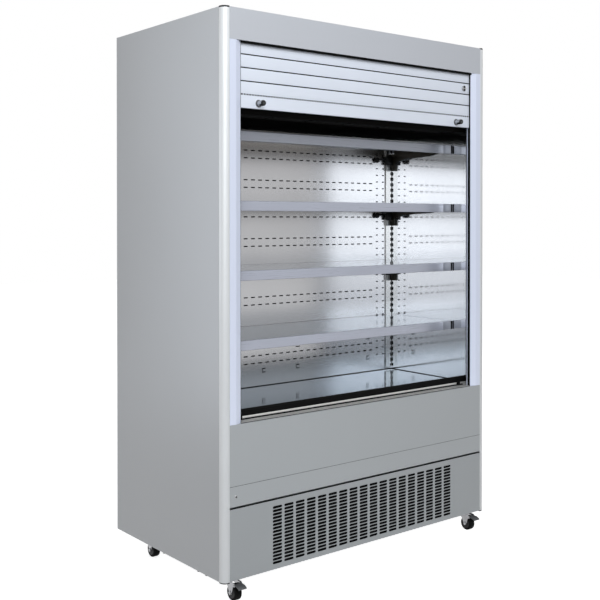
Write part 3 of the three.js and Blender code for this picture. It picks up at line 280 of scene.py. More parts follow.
LOOKS = {
    "silver": painted("silver_paint", linear(204, (-2, 0, 6))),
    "kick": painted("kick_paint", linear(178, (-2, 1, 3))),
    "side": painted("side_paint", linear(183, (-1, 0, 2)), rough=0.34),
    "roof": painted("roof_paint", linear(180, (0, 0, 1)), rough=0.46),
    "grey": painted("grey_paint", linear(188, (-2, 1, 3))),
    "post": brushed("post_aluminium", linear(233, (-1, 0, 1)), "z", 0.5, 0.02, metallic=0.2, bump=0.02),
    "rail": guide_finish("guide_aluminium_track_shade", linear(233, (-6, 0, 18)), linear(12), TRACKS_FROM),
    "slat": brushed("slat_aluminium", linear(242, (-5, 0, 11)), "x", 0.42, 0.02, metallic=0.2),
    "lining": brushed("lining_stainless", linear(228, (-2, 0, 3)), "z", 0.085, 0.01, bump=0.0, spread=0.03),
    "back": brushed("back_stainless", linear(186, (0, 0, 2)), "x", 0.25, 0.01, bump=0.0, spread=0.03),
    "shelf": brushed("shelf_stainless", linear(188, (-3, 0, 13)), metallic=0.3, bump=0.0),
    # Darker copy of the shelf finish for the top shelf: painted shade from the fascia above it.
    "shaded_top_shelf": brushed("top_shelf_stainless", linear(158, (-3, 0, 10)), metallic=0.3, bump=0.0),
    "end_cap": painted("end_cap_grey", linear(150, (-3, 0, 10)), rough=0.35, metallic=0.2),
    # Bluish tint of the shelf tops: painted reflection, seen again in the back wall above each shelf.
    "shelf_top": brushed("shelf_top_painted_reflection", linear(123, (-20, 0, 16)), "x", 0.1, 0.01, bump=0.0,
                         streaks=0.2),
    # Warm dark skin under the shelves: painted shade, which the back wall shows just below each shelf.
    "underside": brushed("underside_painted_shade", linear(112, (14, 2, -20)), bump=0.0),
    "deck": brushed("deck_stainless", linear(135, (-26, 0, 20)), "y", 0.1, 0.02, bump=0.0, streaks=0.2),
    "sill": brushed("sill_stainless", linear(228, (2, 1, -2)), "x", 0.4, 0.06, metallic=0.6),
    "upright": brushed("upright_stainless", linear(178), "z", 0.25, 0.08),
    "arm": brushed("arm_steel", linear(52, (6, 1, -8)), "y", 0.4, 0.2, metallic=0.5),
    # Near-black paint: the compressor's own colour, and painted shade on the canopy duct.
    "black_paint_and_shade": painted("black_paint_and_shade", linear(8, (1, 0, -1)), rough=0.7, metallic=0.0, specular=0.06),
    "black_plastic": plastic("black_plastic", linear(12, (0, 0, 1)), specular=0.25),
    "rubber": plastic("rubber", linear(15), rough=0.75, grain=900, strength=0.3, specular=0.08),
    "brush": plastic("brush_pile", linear(9), rough=0.9, grain=3000, strength=0.6, specular=0.1),
    "sealant": plastic("grey_sealant", linear(70, (-4, 0, 4)), rough=0.6),
    "zinc": galvanised("galvanised", linear(165, (0, 1, 2))),
    "chrome": chromed("chrome", linear(152, (0, 0, 2))),
    "pedal": painted("pedal_paint", linear(88, (0, 1, 3)), rough=0.5, metallic=0.3),
    "coil": brushed("coil_aluminium", linear(175, (0, 1, 2)), "z", 0.45, 0.2, metallic=0.8),
}


def dress(look, *nodes):
    """Gives CAD nodes a finish through their material slots."""
    for name in nodes:
        for slot in NODES[name].material_slots:
            slot.material = LOOKS[look]


for side in SIDES:
    dress("side", f"side_panel_{side}")
    dress("post", f"corner_post_{side}")
    dress("black_plastic", f"post_cap_{side}")
    dress("lining", f"inner_side_{side}")
    dress("upright", f"shelf_upright_{side}")
    dress("rail", f"guide_rail_{side}")
    dress("chrome", f"lock_barrel_{side}")
dress("silver", "fascia_panel", "rear_panel")
dress("roof", "roof_panel")
dress("brush", "head_brush_seal")
dress("grey", "front_panel", "front_strip", "rear_vent_panel")
dress("kick", "kick_grille")
dress("sill", "display_tub")
dress("rubber", "sill_bumper")
dress("deck", "deck_pan")
dress("back", "inner_back_panel")
# The canopy duct is near black as painted shade for the dark space above the top shelf.
dress("black_paint_and_shade", "canopy_duct", "compressor")
dress("black_plastic", "air_outlet_grid", "condenser_fan", "evaporator_fan")
for number in SHELVES:
    dress("shelf", f"shelf_{number}")
    dress("black_paint_and_shade", f"shelf_brackets_{number}")
dress("slat", "shutter_bottom_rail", *[f"shutter_curtain_{number}" for number in CURTAIN_BODIES])
dress("chrome", "slat_button")
dress("zinc", "shutter_barrel", "base_frame")
dress("coil", "condenser", "evaporator")
for corner in CORNERS:
    dress("chrome", f"castor_fork_{corner}")
    dress("rubber", f"castor_wheel_{corner}")
for corner in FRONT_CORNERS:
    dress("pedal", f"brake_pedal_{corner}")


# ---------------------------------------------------------------- forms

def merge(target, extra):
    """Adds one bmesh to another and frees it."""
    mesh = bpy.data.meshes.new("part")
    extra.to_mesh(mesh)
    extra.free()
    target.from_mesh(mesh)
    bpy.data.meshes.remove(mesh)


SHARP_ANGLE = 35
WELD = 1e-4
SCREW_RADIUS = 4.0


def finish_form(bm, bevel, segments):
    """Welds, turns the normals outwards and rounds the sharp edges."""
    bmesh.ops.remove_doubles(bm, verts=bm.verts, dist=WELD)
    bmesh.ops.recalc_face_normals(bm, faces=bm.faces)
    if bevel:
        sharp = [e for e in bm.edges if e.is_manifold and e.calc_face_angle(0) > math.radians(SHARP_ANGLE)]
        bmesh.ops.bevel(bm, geom=sharp, offset=bevel, segments=segments, profile=0.5, affect="EDGES",
                        clamp_overlap=True)


def circle(u, v, radius, steps):
    turns = (2 * math.pi * i / steps for i in range(steps))
    return [(u + radius * math.cos(turn), v + radius * math.sin(turn)) for turn in turns]


def symmetric(middle_at, half):
    """Profile of a turned form, from (distance from its middle, radius) on one side, outermost first."""
    return [(middle_at - t, r) for t, r in half] + [(middle_at + t, r) for t, r in reversed(half)]


class Form:
    """Collects solids in the cabinet's layout, in millimetres, and makes one piece of them."""

    def __init__(self):
        self.bm = bmesh.new()

    def add(self, bm, bevel=0.0, segments=1):
        finish_form(bm, bevel, segments)
        merge(self.bm, bm)
        return self

    def box(self, x, y, z, bevel=0.0, segments=2):
        """Box between two values on each axis."""
        bm = bmesh.new()
        bmesh.ops.create_cube(bm, size=1)
        for v in bm.verts:
            v.co = Vector([(r[0] + r[1]) / 2 + c * (r[1] - r[0]) for r, c in zip((x, y, z), v.co)])
        return self.add(bm, bevel, segments)

    def prism(self, axis, outline, ends, bevel=0.0, segments=2):
        """Outline drawn out along an axis: in (y, z) for x, (x, z) for y and (x, y) for z."""
        place = {
            "x": lambda a, b, t: (t, a, b),
            "y": lambda a, b, t: (a, t, b),
            "z": lambda a, b, t: (a, b, t),
        }[axis]
        bm = bmesh.new()
        rings = [[bm.verts.new(place(a, b, t)) for a, b in outline] for t in ends]
        count = len(outline)
        for i in range(count):
            j = (i + 1) % count
            bm.faces.new((rings[0][i], rings[0][j], rings[1][j], rings[1][i]))
        bm.faces.new(rings[0])
        bm.faces.new(rings[1])
        return self.add(bm, bevel, segments)

    def lathe(self, axis, centre, profile, segments):
        """Turned form; centre is the axis's place in the plane across it, profile is (position, radius)."""
        place = {
            "x": lambda t, a, b: (t, centre[0] + a, centre[1] + b),
            "y": lambda t, a, b: (centre[0] + a, t, centre[1] + b),
            "z": lambda t, a, b: (centre[0] + a, centre[1] + b, t),
        }[axis]
        bm = bmesh.new()
        rings = [[bm.verts.new(place(t, a, b)) for a, b in circle(0, 0, r, segments)] for t, r in profile]
        for a, b in zip(rings, rings[1:]):
            for i in range(segments):
                j = (i + 1) % segments
                bm.faces.new((a[i], a[j], b[j], b[i]))
        bm.faces.new(rings[0])
        bm.faces.new(rings[-1])
        return self.add(bm)

    def plate(self, outer, holes, thickness, place, bevel):
        """Flat plate with holes, all outlines in (u, v). place(u, v, w) gives the layout's point."""
        curve = bpy.data.curves.new("plate", "CURVE")
        curve.dimensions = "2D"
        curve.fill_mode = "BOTH"
        curve.extrude = thickness / 2 - bevel
        curve.bevel_depth = bevel
        curve.bevel_resolution = 0
        curve.offset = -bevel
        for outline in [outer, *holes]:
            spline = curve.splines.new("POLY")
            spline.points.add(len(outline) - 1)
            for point, (u, v) in zip(spline.points, outline):
                point.co = (u, v, 0, 1)
            spline.use_cyclic_u = True
        obj = bpy.data.objects.new("plate", curve)
        bpy.context.scene.collection.objects.link(obj)
        graph = bpy.context.evaluated_depsgraph_get()
        mesh = bpy.data.meshes.new_from_object(obj.evaluated_get(graph))
        bpy.data.objects.remove(obj)
        bpy.data.curves.remove(curve)
        bm = bmesh.new()
        bm.from_mesh(mesh)
        bpy.data.meshes.remove(mesh)
        for v in bm.verts:
            v.co = Vector(place(*v.co))
        return self.add(bm)

    def done(self, name, look, body="cabinet", soft_angle=32.0):
        """One piece in the frame's metres, smooth but for its sharp edges, with its look and its body."""
        limit = math.radians(soft_angle)
        for v in self.bm.verts:
            v.co = at(*v.co)
        for face in self.bm.faces:
            face.smooth = True
        for edge in self.bm.edges:
            edge.smooth = edge.is_manifold and edge.calc_face_angle(0) < limit
        mesh = bpy.data.meshes.new(name)
        self.bm.to_mesh(mesh)
        self.bm.free()
        mesh.materials.append(LOOKS[look])
        obj = bpy.data.objects.new(name, mesh)
        bpy.context.scene.collection.objects.link(obj)
        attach(obj, body)
        return obj


def across(side, x):
    """x of a left-hand feature, or of the same one on the right."""
    return x if side == "left" else WIDTH - x


def reach(side, near, far):
    """Range of x between two distances from the cabinet's left edge, or from its right edge."""
    return tuple(sorted((across(side, near), across(side, far))))


def slot_outline(u, v, length, height):
    """Slot with round ends, centred on (u, v)."""
    r = height / 2
    points = []
    for end, start in ((1, -90), (-1, 90)):
        points += arc((u + end * (length / 2 - r), v), r, start, start + 180, 3)
    return points


def rect_outline(u0, u1, v0, v1):
    return [(u0, v0), (u1, v0), (u1, v1), (u0, v1)]


def arc(centre, radius, start, end, steps):
    """Points on a circle, from one angle to another in degrees."""
    points = []
    for i in range(steps + 1):
        angle = math.radians(start + (end - start) * i / steps)
        points.append((centre[0] + radius * math.cos(angle), centre[1] + radius * math.sin(angle)))
    return points


def screw_head(form, axis, centre, face):
    """Low domed head with a driver recess, standing out from a face along an axis."""
    profile = [(face, SCREW_RADIUS), (face + 0.5, SCREW_RADIUS), (face + 1.3, SCREW_RADIUS * 0.8),
               (face + 1.7, SCREW_RADIUS * 0.4), (face + 0.9, SCREW_RADIUS * 0.36)]
    form.lathe(axis, centre, profile, 16)


def facing_front(y_front, y_back):
    """Places a plate's (u, v, w) as (x, z) with its thickness between two y values."""
    middle = (y_front + y_back) / 2
    return lambda u, v, w: (u, middle + w, v)


# ---------------------------------------------------------------- shell

POST = span("corner_post_left", 0)[1]
POST_ROUNDING = 18.0
POST_TOP = span("corner_post_left", 2)[1]
POST_FOOT = (-3.2, -0.1)

for side in SIDES:
    rounded = arc((POST_ROUNDING, POST_ROUNDING), POST_ROUNDING, 180, 270, 20)
    section = [(POST, 0), (POST, POST), (0, POST), *rounded]
    outline = [(across(side, x), y) for x, y in section]
    post = Form().prism("z", outline, (0, POST_TOP), bevel=0.4).done(f"post_{side}", "post")
    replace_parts(post, f"corner_post_{side}")
    Form().prism("z", outline, POST_FOOT, bevel=0.8).done(f"post_foot_{side}", "black_plastic")
    cap = Form().prism("z", outline, span(f"post_cap_{side}", 2), bevel=1.2, segments=3)
    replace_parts(cap.done(f"post_top_{side}", "black_plastic"), f"post_cap_{side}")

# Screws of the roof, and of the two panels at the rear.
ROOF_SCREWS_X = (90, 370, 650, 930, WIDTH - 90)
ROOF_SCREWS_Y = (60, DEPTH - 28)
REAR_SCREWS_X = (62, WIDTH / 2, WIDTH - 62)
REAR_SCREW_INSET = 14
VENT_SCREW_INSET = 10
VENT_RECESS = 2

roof_screws = Form()
for x in ROOF_SCREWS_X:
    for y in ROOF_SCREWS_Y:
        screw_head(roof_screws, "z", (x, y), HEIGHT)
roof_screws.done("roof_screws", "chrome")

rear_screws = Form()
rear_low, rear_high = span("rear_panel", 2)
vent_low, vent_high = span("rear_vent_panel", 2)
for x in REAR_SCREWS_X:
    for z in (rear_low + REAR_SCREW_INSET, (rear_low + rear_high) / 2, rear_high - REAR_SCREW_INSET):
        screw_head(rear_screws, "y", (x, z), DEPTH)
    for z in (vent_low + VENT_SCREW_INSET, vent_high - VENT_SCREW_INSET):
        screw_head(rear_screws, "y", (x, z), DEPTH - VENT_RECESS)
rear_screws.done("rear_screws", "chrome")


# ---------------------------------------------------------------- lower front

KICK_BACK = span("kick_grille", 1)[1]
KICK_LOW, KICK_HIGH = span("kick_grille", 2)
PANEL_LEFT, PANEL_RIGHT = span("kick_grille", 0)
PANELS = (PANEL_LEFT, PANEL_RIGHT)
SHEET = 2.0
GRILLE_LEFT, GRILLE_TOP = 188.0, 202.0
GRILLE_PITCH = (46.3, 11.0)
GRILLE_SLOT = (38.5, 8.4)
GRILLE_COUNT = (18, 17)

slots = []
for column in range(GRILLE_COUNT[0]):
    for row in range(GRILLE_COUNT[1]):
        u = GRILLE_LEFT + GRILLE_SLOT[0] / 2 + column * GRILLE_PITCH[0]
        v = GRILLE_TOP - GRILLE_SLOT[1] / 2 - row * GRILLE_PITCH[1]
        slots.append(slot_outline(u, v, *GRILLE_SLOT))
grille = Form()
kick_face = rect_outline(PANEL_LEFT, PANEL_RIGHT, KICK_LOW, KICK_HIGH)
grille.plate(kick_face, slots, SHEET, facing_front(0, SHEET), 0.35)
grille.box(PANELS, (SHEET, KICK_BACK), (KICK_HIGH - SHEET, KICK_HIGH), 0.3)
grille.box(PANELS, (SHEET, KICK_BACK), (KICK_LOW, KICK_LOW + SHEET), 0.3)
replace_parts(grille.done("kick_grille_punched", "kick"), "kick_grille")

# Black sealing lips in the joints above the kick panel and above the strip.
STRIP_HIGH = span("front_strip", 2)[1]
lips = Form()
lips.box(PANELS, (-0.3, 4), (KICK_HIGH - 0.6, KICK_HIGH + 1.8), 0.2, 1)
lips.box(PANELS, (-0.15, 3), (STRIP_HIGH - 0.3, STRIP_HIGH + 0.7))
lips.done("panel_joint_lips", "rubber")

# Dark mat close behind the slots: painted shade, so that they read dark.
mat = Form()
grille_right = GRILLE_LEFT + GRILLE_COUNT[0] * GRILLE_PITCH[0]
grille_low = GRILLE_TOP - GRILLE_COUNT[1] * GRILLE_PITCH[1]
mat.box((GRILLE_LEFT - 12, grille_right + 4), (SHEET + 3, SHEET + 7), (grille_low - 6, GRILLE_TOP + 8), 0.8)
mat.done("grille_shade_mat", "brush")

# Small cam lock at the left end of the strip.
LOCK_AT = (46.5, 258.0)
strip_lock = Form().lathe("y", LOCK_AT, [(-1.6, 3.4), (-1.6, 5.0), (-0.8, 6.2), (0, 6.4)], 28)
strip_lock.done("strip_lock", "zinc")
strip_slot = Form().lathe("y", LOCK_AT, [(-1.9, 0.6), (-1.9, 2.4), (-1.5, 3.2)], 24)
strip_slot.done("strip_lock_slot", "black_plastic")

# Gasket and flange where the ledge meets the riser, and the ribbed black rail with its end legs above. The
# black gasket strips are partly a seal and partly painted shade for the gap at the riser's foot.
TUB_LEFT, TUB_RIGHT = span("display_tub", 0)
TUB_FRONT = span("display_tub", 1)[0]
LEDGE = span("front_panel", 2)[1]
LEDGE_SPAN = (72, WIDTH - 72)
gasket = Form().box(LEDGE_SPAN, (TUB_FRONT - 7, TUB_FRONT - 0.3), (LEDGE + 0.2, LEDGE + 4.6), 0.8)
gasket.box(LEDGE_SPAN, (6, 10), (LEDGE + 0.1, LEDGE + 1.0), 0.2, 1)
gasket.done("ledge_gasket_and_shade", "rubber")
flange = Form().box(LEDGE_SPAN, (10, TUB_FRONT - 7), (LEDGE + 0.1, LEDGE + 1.6), 0.5)
flange.done("ledge_flange", "sill")

RAIL_LOW, RAIL_HIGH = span("sill_bumper", 2)
RAIL_FRONT, RAIL_BACK = span("sill_bumper", 1)
RAIL_RIBS = 3
LEG_INSET = (86.0, 102.0)
rail_face = [(RAIL_FRONT + 1.2, RAIL_LOW)]
rib_height = (RAIL_HIGH - RAIL_LOW - 4) / RAIL_RIBS
for i in range(RAIL_RIBS):
    z = RAIL_LOW + 1 + i * rib_height
    rail_face += [(RAIL_FRONT + 1.4, z), (RAIL_FRONT, z + 1.0), (RAIL_FRONT, z + rib_height - 1.4),
                  (RAIL_FRONT + 1.4, z + rib_height - 0.4)]
rail_face += [(RAIL_FRONT + 2, RAIL_HIGH - 1), (RAIL_FRONT + 3.4, RAIL_HIGH), (RAIL_BACK - 2.4, RAIL_HIGH),
              (RAIL_BACK, RAIL_HIGH - 2.4), (RAIL_BACK, RAIL_LOW)]
bumper = Form().prism("x", rail_face, (TUB_LEFT, TUB_RIGHT), 0.3)
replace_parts(bumper.done("sill_rail", "rubber"), "sill_bumper")
legs = Form()
for side in SIDES:
    legs.box(reach(side, *LEG_INSET), (TUB_FRONT - 4.2, TUB_FRONT - 0.1), (LEDGE + 4.7, RAIL_LOW + 3.0), 0.6)
legs.done("sill_rail_legs", "rubber")


# ---------------------------------------------------------------- display space

BACK_FRONT, BACK_REAR = span("inner_back_panel", 1)
BACK_LEFT, BACK_RIGHT = span("inner_back_panel", 0)
BACK_LOW, BACK_HIGH = span("inner_back_panel", 2)

# Air slots: pairs of rows over the whole width, upright columns near the right edge, and near the foot two
# longer slots and three C-shaped cuts.
AIR_SLOT = (18.5, 3.8)
AIR_PITCH = 32.9
AIR_COLUMN_FROM = 80.6
AIR_COLUMNS = 30
AIR_ROW_FROM = 576.5
AIR_ROW_STEP = 108.5
AIR_ROW_PAIR = 28.0
AIR_ROWS = 8
EDGE_COLUMNS = (1070.0, 1104.0)
EDGE_FROM = 556.0
EDGE_PITCH = 27.2
EDGE_ROWS = 31
EDGE_LENGTH = 12.0
LONG_SLOTS = ((655.0, 623.0), (1020.0, 623.0))
LONG_SLOT = (22.0, 3.0)
TABS_X = (492.0, 655.0, 1020.0)
TABS_Z = 547.0
TAB_HALF = 8.0
TAB_INNER = 4.8

air = []
for row in range(AIR_ROWS):
    for pair in (0, AIR_ROW_PAIR):
        for column in range(AIR_COLUMNS):
            u = AIR_COLUMN_FROM + column * AIR_PITCH
            air.append(slot_outline(u, AIR_ROW_FROM + row * AIR_ROW_STEP + pair, *AIR_SLOT))
for u in EDGE_COLUMNS:
    for row in range(EDGE_ROWS):
        air.append(slot_outline(u, EDGE_FROM + row * EDGE_PITCH, EDGE_LENGTH, AIR_SLOT[1]))
for u, v in LONG_SLOTS:
    air.append(slot_outline(u, v, *LONG_SLOT))
tab = [(TAB_HALF, -TAB_HALF), (TAB_HALF, -TAB_INNER), (-TAB_INNER, -TAB_INNER), (-TAB_INNER, TAB_INNER),
       (TAB_HALF, TAB_INNER), (TAB_HALF, TAB_HALF), (-TAB_HALF, TAB_HALF), (-TAB_HALF, -TAB_HALF)]
for u in TABS_X:
    air.append([(u + du, TABS_Z + dv) for du, dv in tab])
back = Form()
back.plate(rect_outline(BACK_LEFT, BACK_RIGHT, BACK_LOW, BACK_HIGH), air, BACK_REAR - BACK_FRONT,
           facing_front(BACK_FRONT, BACK_REAR), 0.3)
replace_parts(back.done("back_panel_punched", "back"), "inner_back_panel")

# Dark sealed joint round the deck, against the back and the walls.
DECK_TOP = span("deck_pan", 2)[1]
DECK_FRONT = span("deck_pan", 1)[0]
JOINT_FRONT = BACK_FRONT - 2.6
joint = Form()
joint.box((BACK_LEFT + 1, BACK_RIGHT - 1), (JOINT_FRONT, BACK_FRONT - 0.2), (DECK_TOP, DECK_TOP + 2.2), 0.6)
for side in SIDES:
    edge = reach(side, BACK_LEFT + 0.1, BACK_LEFT + 2.4)
    joint.box(edge, (DECK_FRONT, JOINT_FRONT), (DECK_TOP, DECK_TOP + 2.0), 0.6)
joint.done("deck_joint", "sealant")

# Black sheet in the back duct just behind the slots: painted shade, so that they read dark.
duct = Form()
duct.box((BACK_LEFT + 4, BACK_RIGHT - 4), (BACK_REAR + 5, BACK_REAR + 6.5), (BACK_LOW + 60, BACK_HIGH - 8))
duct.done("duct_shade_screen", "brush")

# Slotted uprights: a channel with its slots beside the back panel, and a dark strip inside it as painted
# shade, so that the slots read dark.
UPRIGHT_BACK = span("shelf_upright_left", 1)[1]
UPRIGHT_FRONT = UPRIGHT_BACK - 5.0
UPRIGHT_LOW, UPRIGHT_HIGH = span("shelf_upright_left", 2)
UPRIGHT_SHEET = 1.8
UPRIGHT_WEB_BACK = UPRIGHT_FRONT + UPRIGHT_SHEET
UPRIGHT_SLOT = (14.5, 7.4)
SLOT_INSET = 4.2
SHELF_TOPS = [span(f"shelf_{number}", 2)[1] for number in SHELVES]
SLOT_PITCH = (SHELF_TOPS[0] - SHELF_TOPS[1]) / 10
SLOT_FROM = SHELF_TOPS[0] - 39.3 * SLOT_PITCH
for side in SIDES:
    low, high = span(f"shelf_upright_{side}", 0)
    centre = low + SLOT_INSET if side == "left" else high - SLOT_INSET
    holes = []
    z = SLOT_FROM
    while z < UPRIGHT_HIGH - SLOT_PITCH:
        holes.append([(u, v) for v, u in slot_outline(z, centre, *UPRIGHT_SLOT)])
        z += SLOT_PITCH
    channel = Form()
    channel.plate(rect_outline(low, high, UPRIGHT_LOW, UPRIGHT_HIGH), holes, UPRIGHT_SHEET,
                  facing_front(UPRIGHT_FRONT, UPRIGHT_WEB_BACK), 0.3)
    for wall in (low, high - UPRIGHT_SHEET):
        channel.box((wall, wall + UPRIGHT_SHEET), (UPRIGHT_WEB_BACK, UPRIGHT_BACK),
                    (UPRIGHT_LOW, UPRIGHT_HIGH), 0.3)
    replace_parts(channel.done(f"upright_{side}_slotted", "upright"), f"shelf_upright_{side}")
    inset = Form().box((low + 2.2, high - 2.2), (UPRIGHT_FRONT + 2.4, UPRIGHT_FRONT + 3.2),
                       (UPRIGHT_LOW + 2, UPRIGHT_HIGH - 2))
    inset.done(f"upright_{side}_hollow_shade", "brush")

# Shelves: rolled front lip with a hem, turned-down ends, end caps and a skin on both faces: a warm dark skin
# below as painted shade, and a bluish one on top as painted reflection.
SHELF_LEFT, SHELF_RIGHT = span("shelf_1", 0)
SHELF_FRONT, SHELF_BACK = span("shelf_1", 1)
SHELF_SHEET = 1.5
SHELF_ENDS = ((SHELF_LEFT, SHELF_LEFT + SHELF_SHEET), (SHELF_RIGHT - SHELF_SHEET, SHELF_RIGHT))
SHELF_SKIN = (SHELF_LEFT + 2, SHELF_RIGHT - 2)
SKIN_BACK = UPRIGHT_FRONT - 2.5
END_JOINT = 8.0
END_CAP = 50.0


def shelf_section(low, top):
    """Sheet of a shelf in (y, z), from its rear edge over the lip to the hem and back."""
    front = SHELF_FRONT
    return [(SHELF_BACK, top), (front + 5, top), *arc((front + 2.5, top - 2.5), 2.5, 90, 180, 5),
            *arc((front + 1.6, low + 1.6), 1.6, 180, 270, 4), (front + 14, low), (front + 14, low + 1.5),
            (front + 2, low + 1.5), (front + 1.5, low + 2.2), (front + 1.5, top - 2.6),
            (front + 2.6, top - SHELF_SHEET), (SHELF_BACK, top - SHELF_SHEET)]


for number in SHELVES:
    low, top = span(f"shelf_{number}", 2)
    shelf = Form().prism("x", shelf_section(low, top), (SHELF_LEFT, SHELF_RIGHT), 0.2, 1)
    for end in SHELF_ENDS:
        shelf.box(end, (SHELF_FRONT + 2, UPRIGHT_FRONT - 2), (top - 12, top - 0.4), 0.3)
    # The top shelf takes the darker copy of the finish as painted shade.
    piece = shelf.done(f"shelf_{number}_folded", "shaded_top_shelf" if number == 1 else "shelf")
    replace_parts(piece, f"shelf_{number}")
    ends = Form()
    gaps = Form()
    for side in SIDES:
        cap = reach(side, SHELF_LEFT + END_JOINT, SHELF_LEFT + END_CAP)
        ends.box(cap, (SHELF_FRONT - 0.4, SHELF_FRONT + 2), (low + 0.6, top - 0.8), 0.3)
        slit = reach(side, SHELF_LEFT + 0.2, SHELF_LEFT + END_JOINT)
        gaps.box(slit, (SHELF_FRONT - 0.3, SHELF_FRONT + 2), (low + 0.4, top - 0.6), 0.2, 1)
    ends.done(f"shelf_{number}_end_caps", "end_cap")
    gaps.done(f"shelf_{number}_end_joints", "rubber")
    skin = Form().box(SHELF_SKIN, (SHELF_FRONT + 15, SKIN_BACK), (top - 1.74, top - 1.54))
    skin.done(f"shelf_{number}_underside", "underside")
    polish = Form().box(SHELF_SKIN, (SHELF_FRONT + 5, SKIN_BACK), (top + 0.02, top + 0.16))
    polish.done(f"shelf_{number}_top", "shelf_top")

# Arms under the shelves, with a root block, a crossbar and a round buffer on each side.
ARM_FRONT = span("shelf_brackets_1", 1)[0]
ARM_BACK = UPRIGHT_FRONT - 0.3
ARM_INSET = (52.0, 57.0)
BLOCK_INSET = (57.1, 90.0)
TONGUE_INSET = (62.0, 84.0)
KNOB_INSET = 137.0
HOOK_DROP = 84
CROSSBAR_RADIUS = 3.6


def shelf_arm(under, front, back):
    """Sheet arm in (y, z): hook down beside the upright's slots, then a blade that gets shallower."""
    return [(back, under - 16), (back, under - HOOK_DROP), (back - 24, under - HOOK_DROP),
            (back - 24, under - 58), (back - 27, under - 53), (back - 35, under - 49),
            (back - 60, under - 44.5), (back - 118, under - 37), (front + 74, under - 33),
            (front + 8, under - 17), (front, under - 13), (front, under), (back - 20, under),
            (back - 20, under - 16)]


def shelf_buffer(form, side, under, back):
    """Block at the arm's root with a crossbar and a round buffer."""
    form.box(reach(side, *BLOCK_INSET), (back - 12, back), (under - 60, under - 24), 2.0, 3)
    bar_ends = reach(side, BLOCK_INSET[1] - 3, KNOB_INSET)
    form.lathe("x", (back - 5, under - 39.2), [(x, CROSSBAR_RADIUS) for x in bar_ends], 20)
    profile = symmetric(BACK_FRONT - 8, [(7, 4.0), (6.4, 7.4), (4.6, 10), (2, 11)])
    form.lathe("y", (across(side, KNOB_INSET), under - 42.2), profile, 28)


for number, top in zip(SHELVES, SHELF_TOPS):
    under = top - 1.8
    arms = Form()
    buffers = Form()
    tongues = Form()
    for side in SIDES:
        arms.prism("x", shelf_arm(under, ARM_FRONT, ARM_BACK), reach(side, *ARM_INSET), 0.5)
        shelf_buffer(buffers, side, under, ARM_BACK)
        tongues.box(reach(side, *TONGUE_INSET), (ARM_BACK - 3, ARM_BACK),
                    (under - HOOK_DROP, under - 59.5), 0.8)
    arms.box((ARM_INSET[1], WIDTH - ARM_INSET[1]), (ARM_FRONT, ARM_FRONT + 5), (under - 13, under), 0.5)
    arms_piece = arms.done(f"shelf_{number}_arms", "arm")
    buffers.done(f"shelf_{number}_buffers", "black_plastic")
    tongues.done(f"shelf_{number}_tongues", "zinc")
    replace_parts(arms_piece, f"shelf_brackets_{number}")


# ---------------------------------------------------------------- shutter

SLATS = span("shutter_curtain_1", 0)
SLAT_PITCH = 41.3
SLAT_BULGE = 0.9
SLAT_STEPS = 10
HALF_JOINT = 2.0
JOINT_DEPTH = 4.0
SLATS_SHOWN = 5
SLATS_BEHIND = 6


def slat_section(front, back, low, depth):
    """One slat in (y, z): bowed face, rolled edges, and the dark joint to the next one."""
    points = [(front + depth, low + HALF_JOINT * 0.4)]
    for i in range(SLAT_STEPS + 1):
        t = i / SLAT_STEPS
        bow = SLAT_BULGE * abs(2 * t - 1) ** 2.4
        points.append((front + bow, low + HALF_JOINT + t * (SLAT_PITCH - 2 * HALF_JOINT)))
    high = low + SLAT_PITCH
    return points + [(front + depth, high - HALF_JOINT * 0.4), (front + depth, high + HALF_JOINT),
                     (back, high + HALF_JOINT), (back, low)]


def curtain(number, body, count):
    """One section of the shutter: its slats with a blank sheet above them, and black strips in their joints
    as painted shade in the gaps.
    """
    front, back = span(f"shutter_curtain_{number}", 1)
    low, top = span(f"shutter_curtain_{number}", 2)
    last = low + count * SLAT_PITCH
    form = Form()
    for i in range(count):
        section = slat_section(front, back, low + i * SLAT_PITCH, min(JOINT_DEPTH, (back - front) * 0.7))
        form.prism("x", section, SLATS)
    strips = Form()
    for i in range(0 if number > 1 else 1, count + 1):
        z = low + i * SLAT_PITCH
        strip = (max(z - 1.5, low + 0.1), min(z + 1.5, last + 0.6))
        strips.box(SLATS, (front + 1.0, front + 3.0), strip, 0.2, 1)
    strips.done(f"slat_joint_shade_{number}", "rubber", body)
    form.box(SLATS, (front + 1.8, back), (last, top), 0.3)
    piece = form.done(f"slats_{number}", "slat", body, soft_angle=28)
    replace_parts(piece, f"shutter_curtain_{number}")


for number, body in CURTAIN_BODIES.items():
    curtain(number, body, SLATS_SHOWN if number == 1 else SLATS_BEHIND)

BAR = {axis: span("shutter_bottom_rail", i) for i, axis in enumerate("xyz")}
BAR_FRONT, BAR_BACK = BAR["y"]
LOCK = {side: (middle(f"lock_barrel_{side}", 0), middle(f"lock_barrel_{side}", 2)) for side in SIDES}
LOCK_HOLE = 9.3
BARREL_RADIUS = 9.0

rail = Form()
rail_holes = [circle(*LOCK[side], LOCK_HOLE, 28) for side in SIDES]
rail.plate(rect_outline(*BAR["x"], *BAR["z"]), rail_holes, BAR_BACK - BAR_FRONT, facing_front(*BAR["y"]), 0.9)
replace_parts(rail.done("bottom_rail", "slat", "shutter"), "shutter_bottom_rail")

# Strip with a row of small knuckles in the joint above the rail.
KNUCKLE_PITCH = 10.5
KNUCKLE_SHARE = 0.62
JOINT_Z = (BAR["z"][1] - 2.4, span("shutter_curtain_1", 2)[0] + 2.2)
comb = Form().box(SLATS, (BAR_FRONT + 0.7, BAR_FRONT + 2.6), JOINT_Z, 0.3, 1)
comb.done("rail_comb", "slat", "shutter")
knuckles = Form()
x = SLATS[0] + 4
while x < SLATS[1] - 6:
    knuckles.box((x, x + KNUCKLE_PITCH * KNUCKLE_SHARE), (BAR_FRONT - 0.3, BAR_FRONT + 2.4), JOINT_Z, 0.3, 1)
    x += KNUCKLE_PITCH
knuckles.done("rail_knuckles", "black_plastic", "shutter")

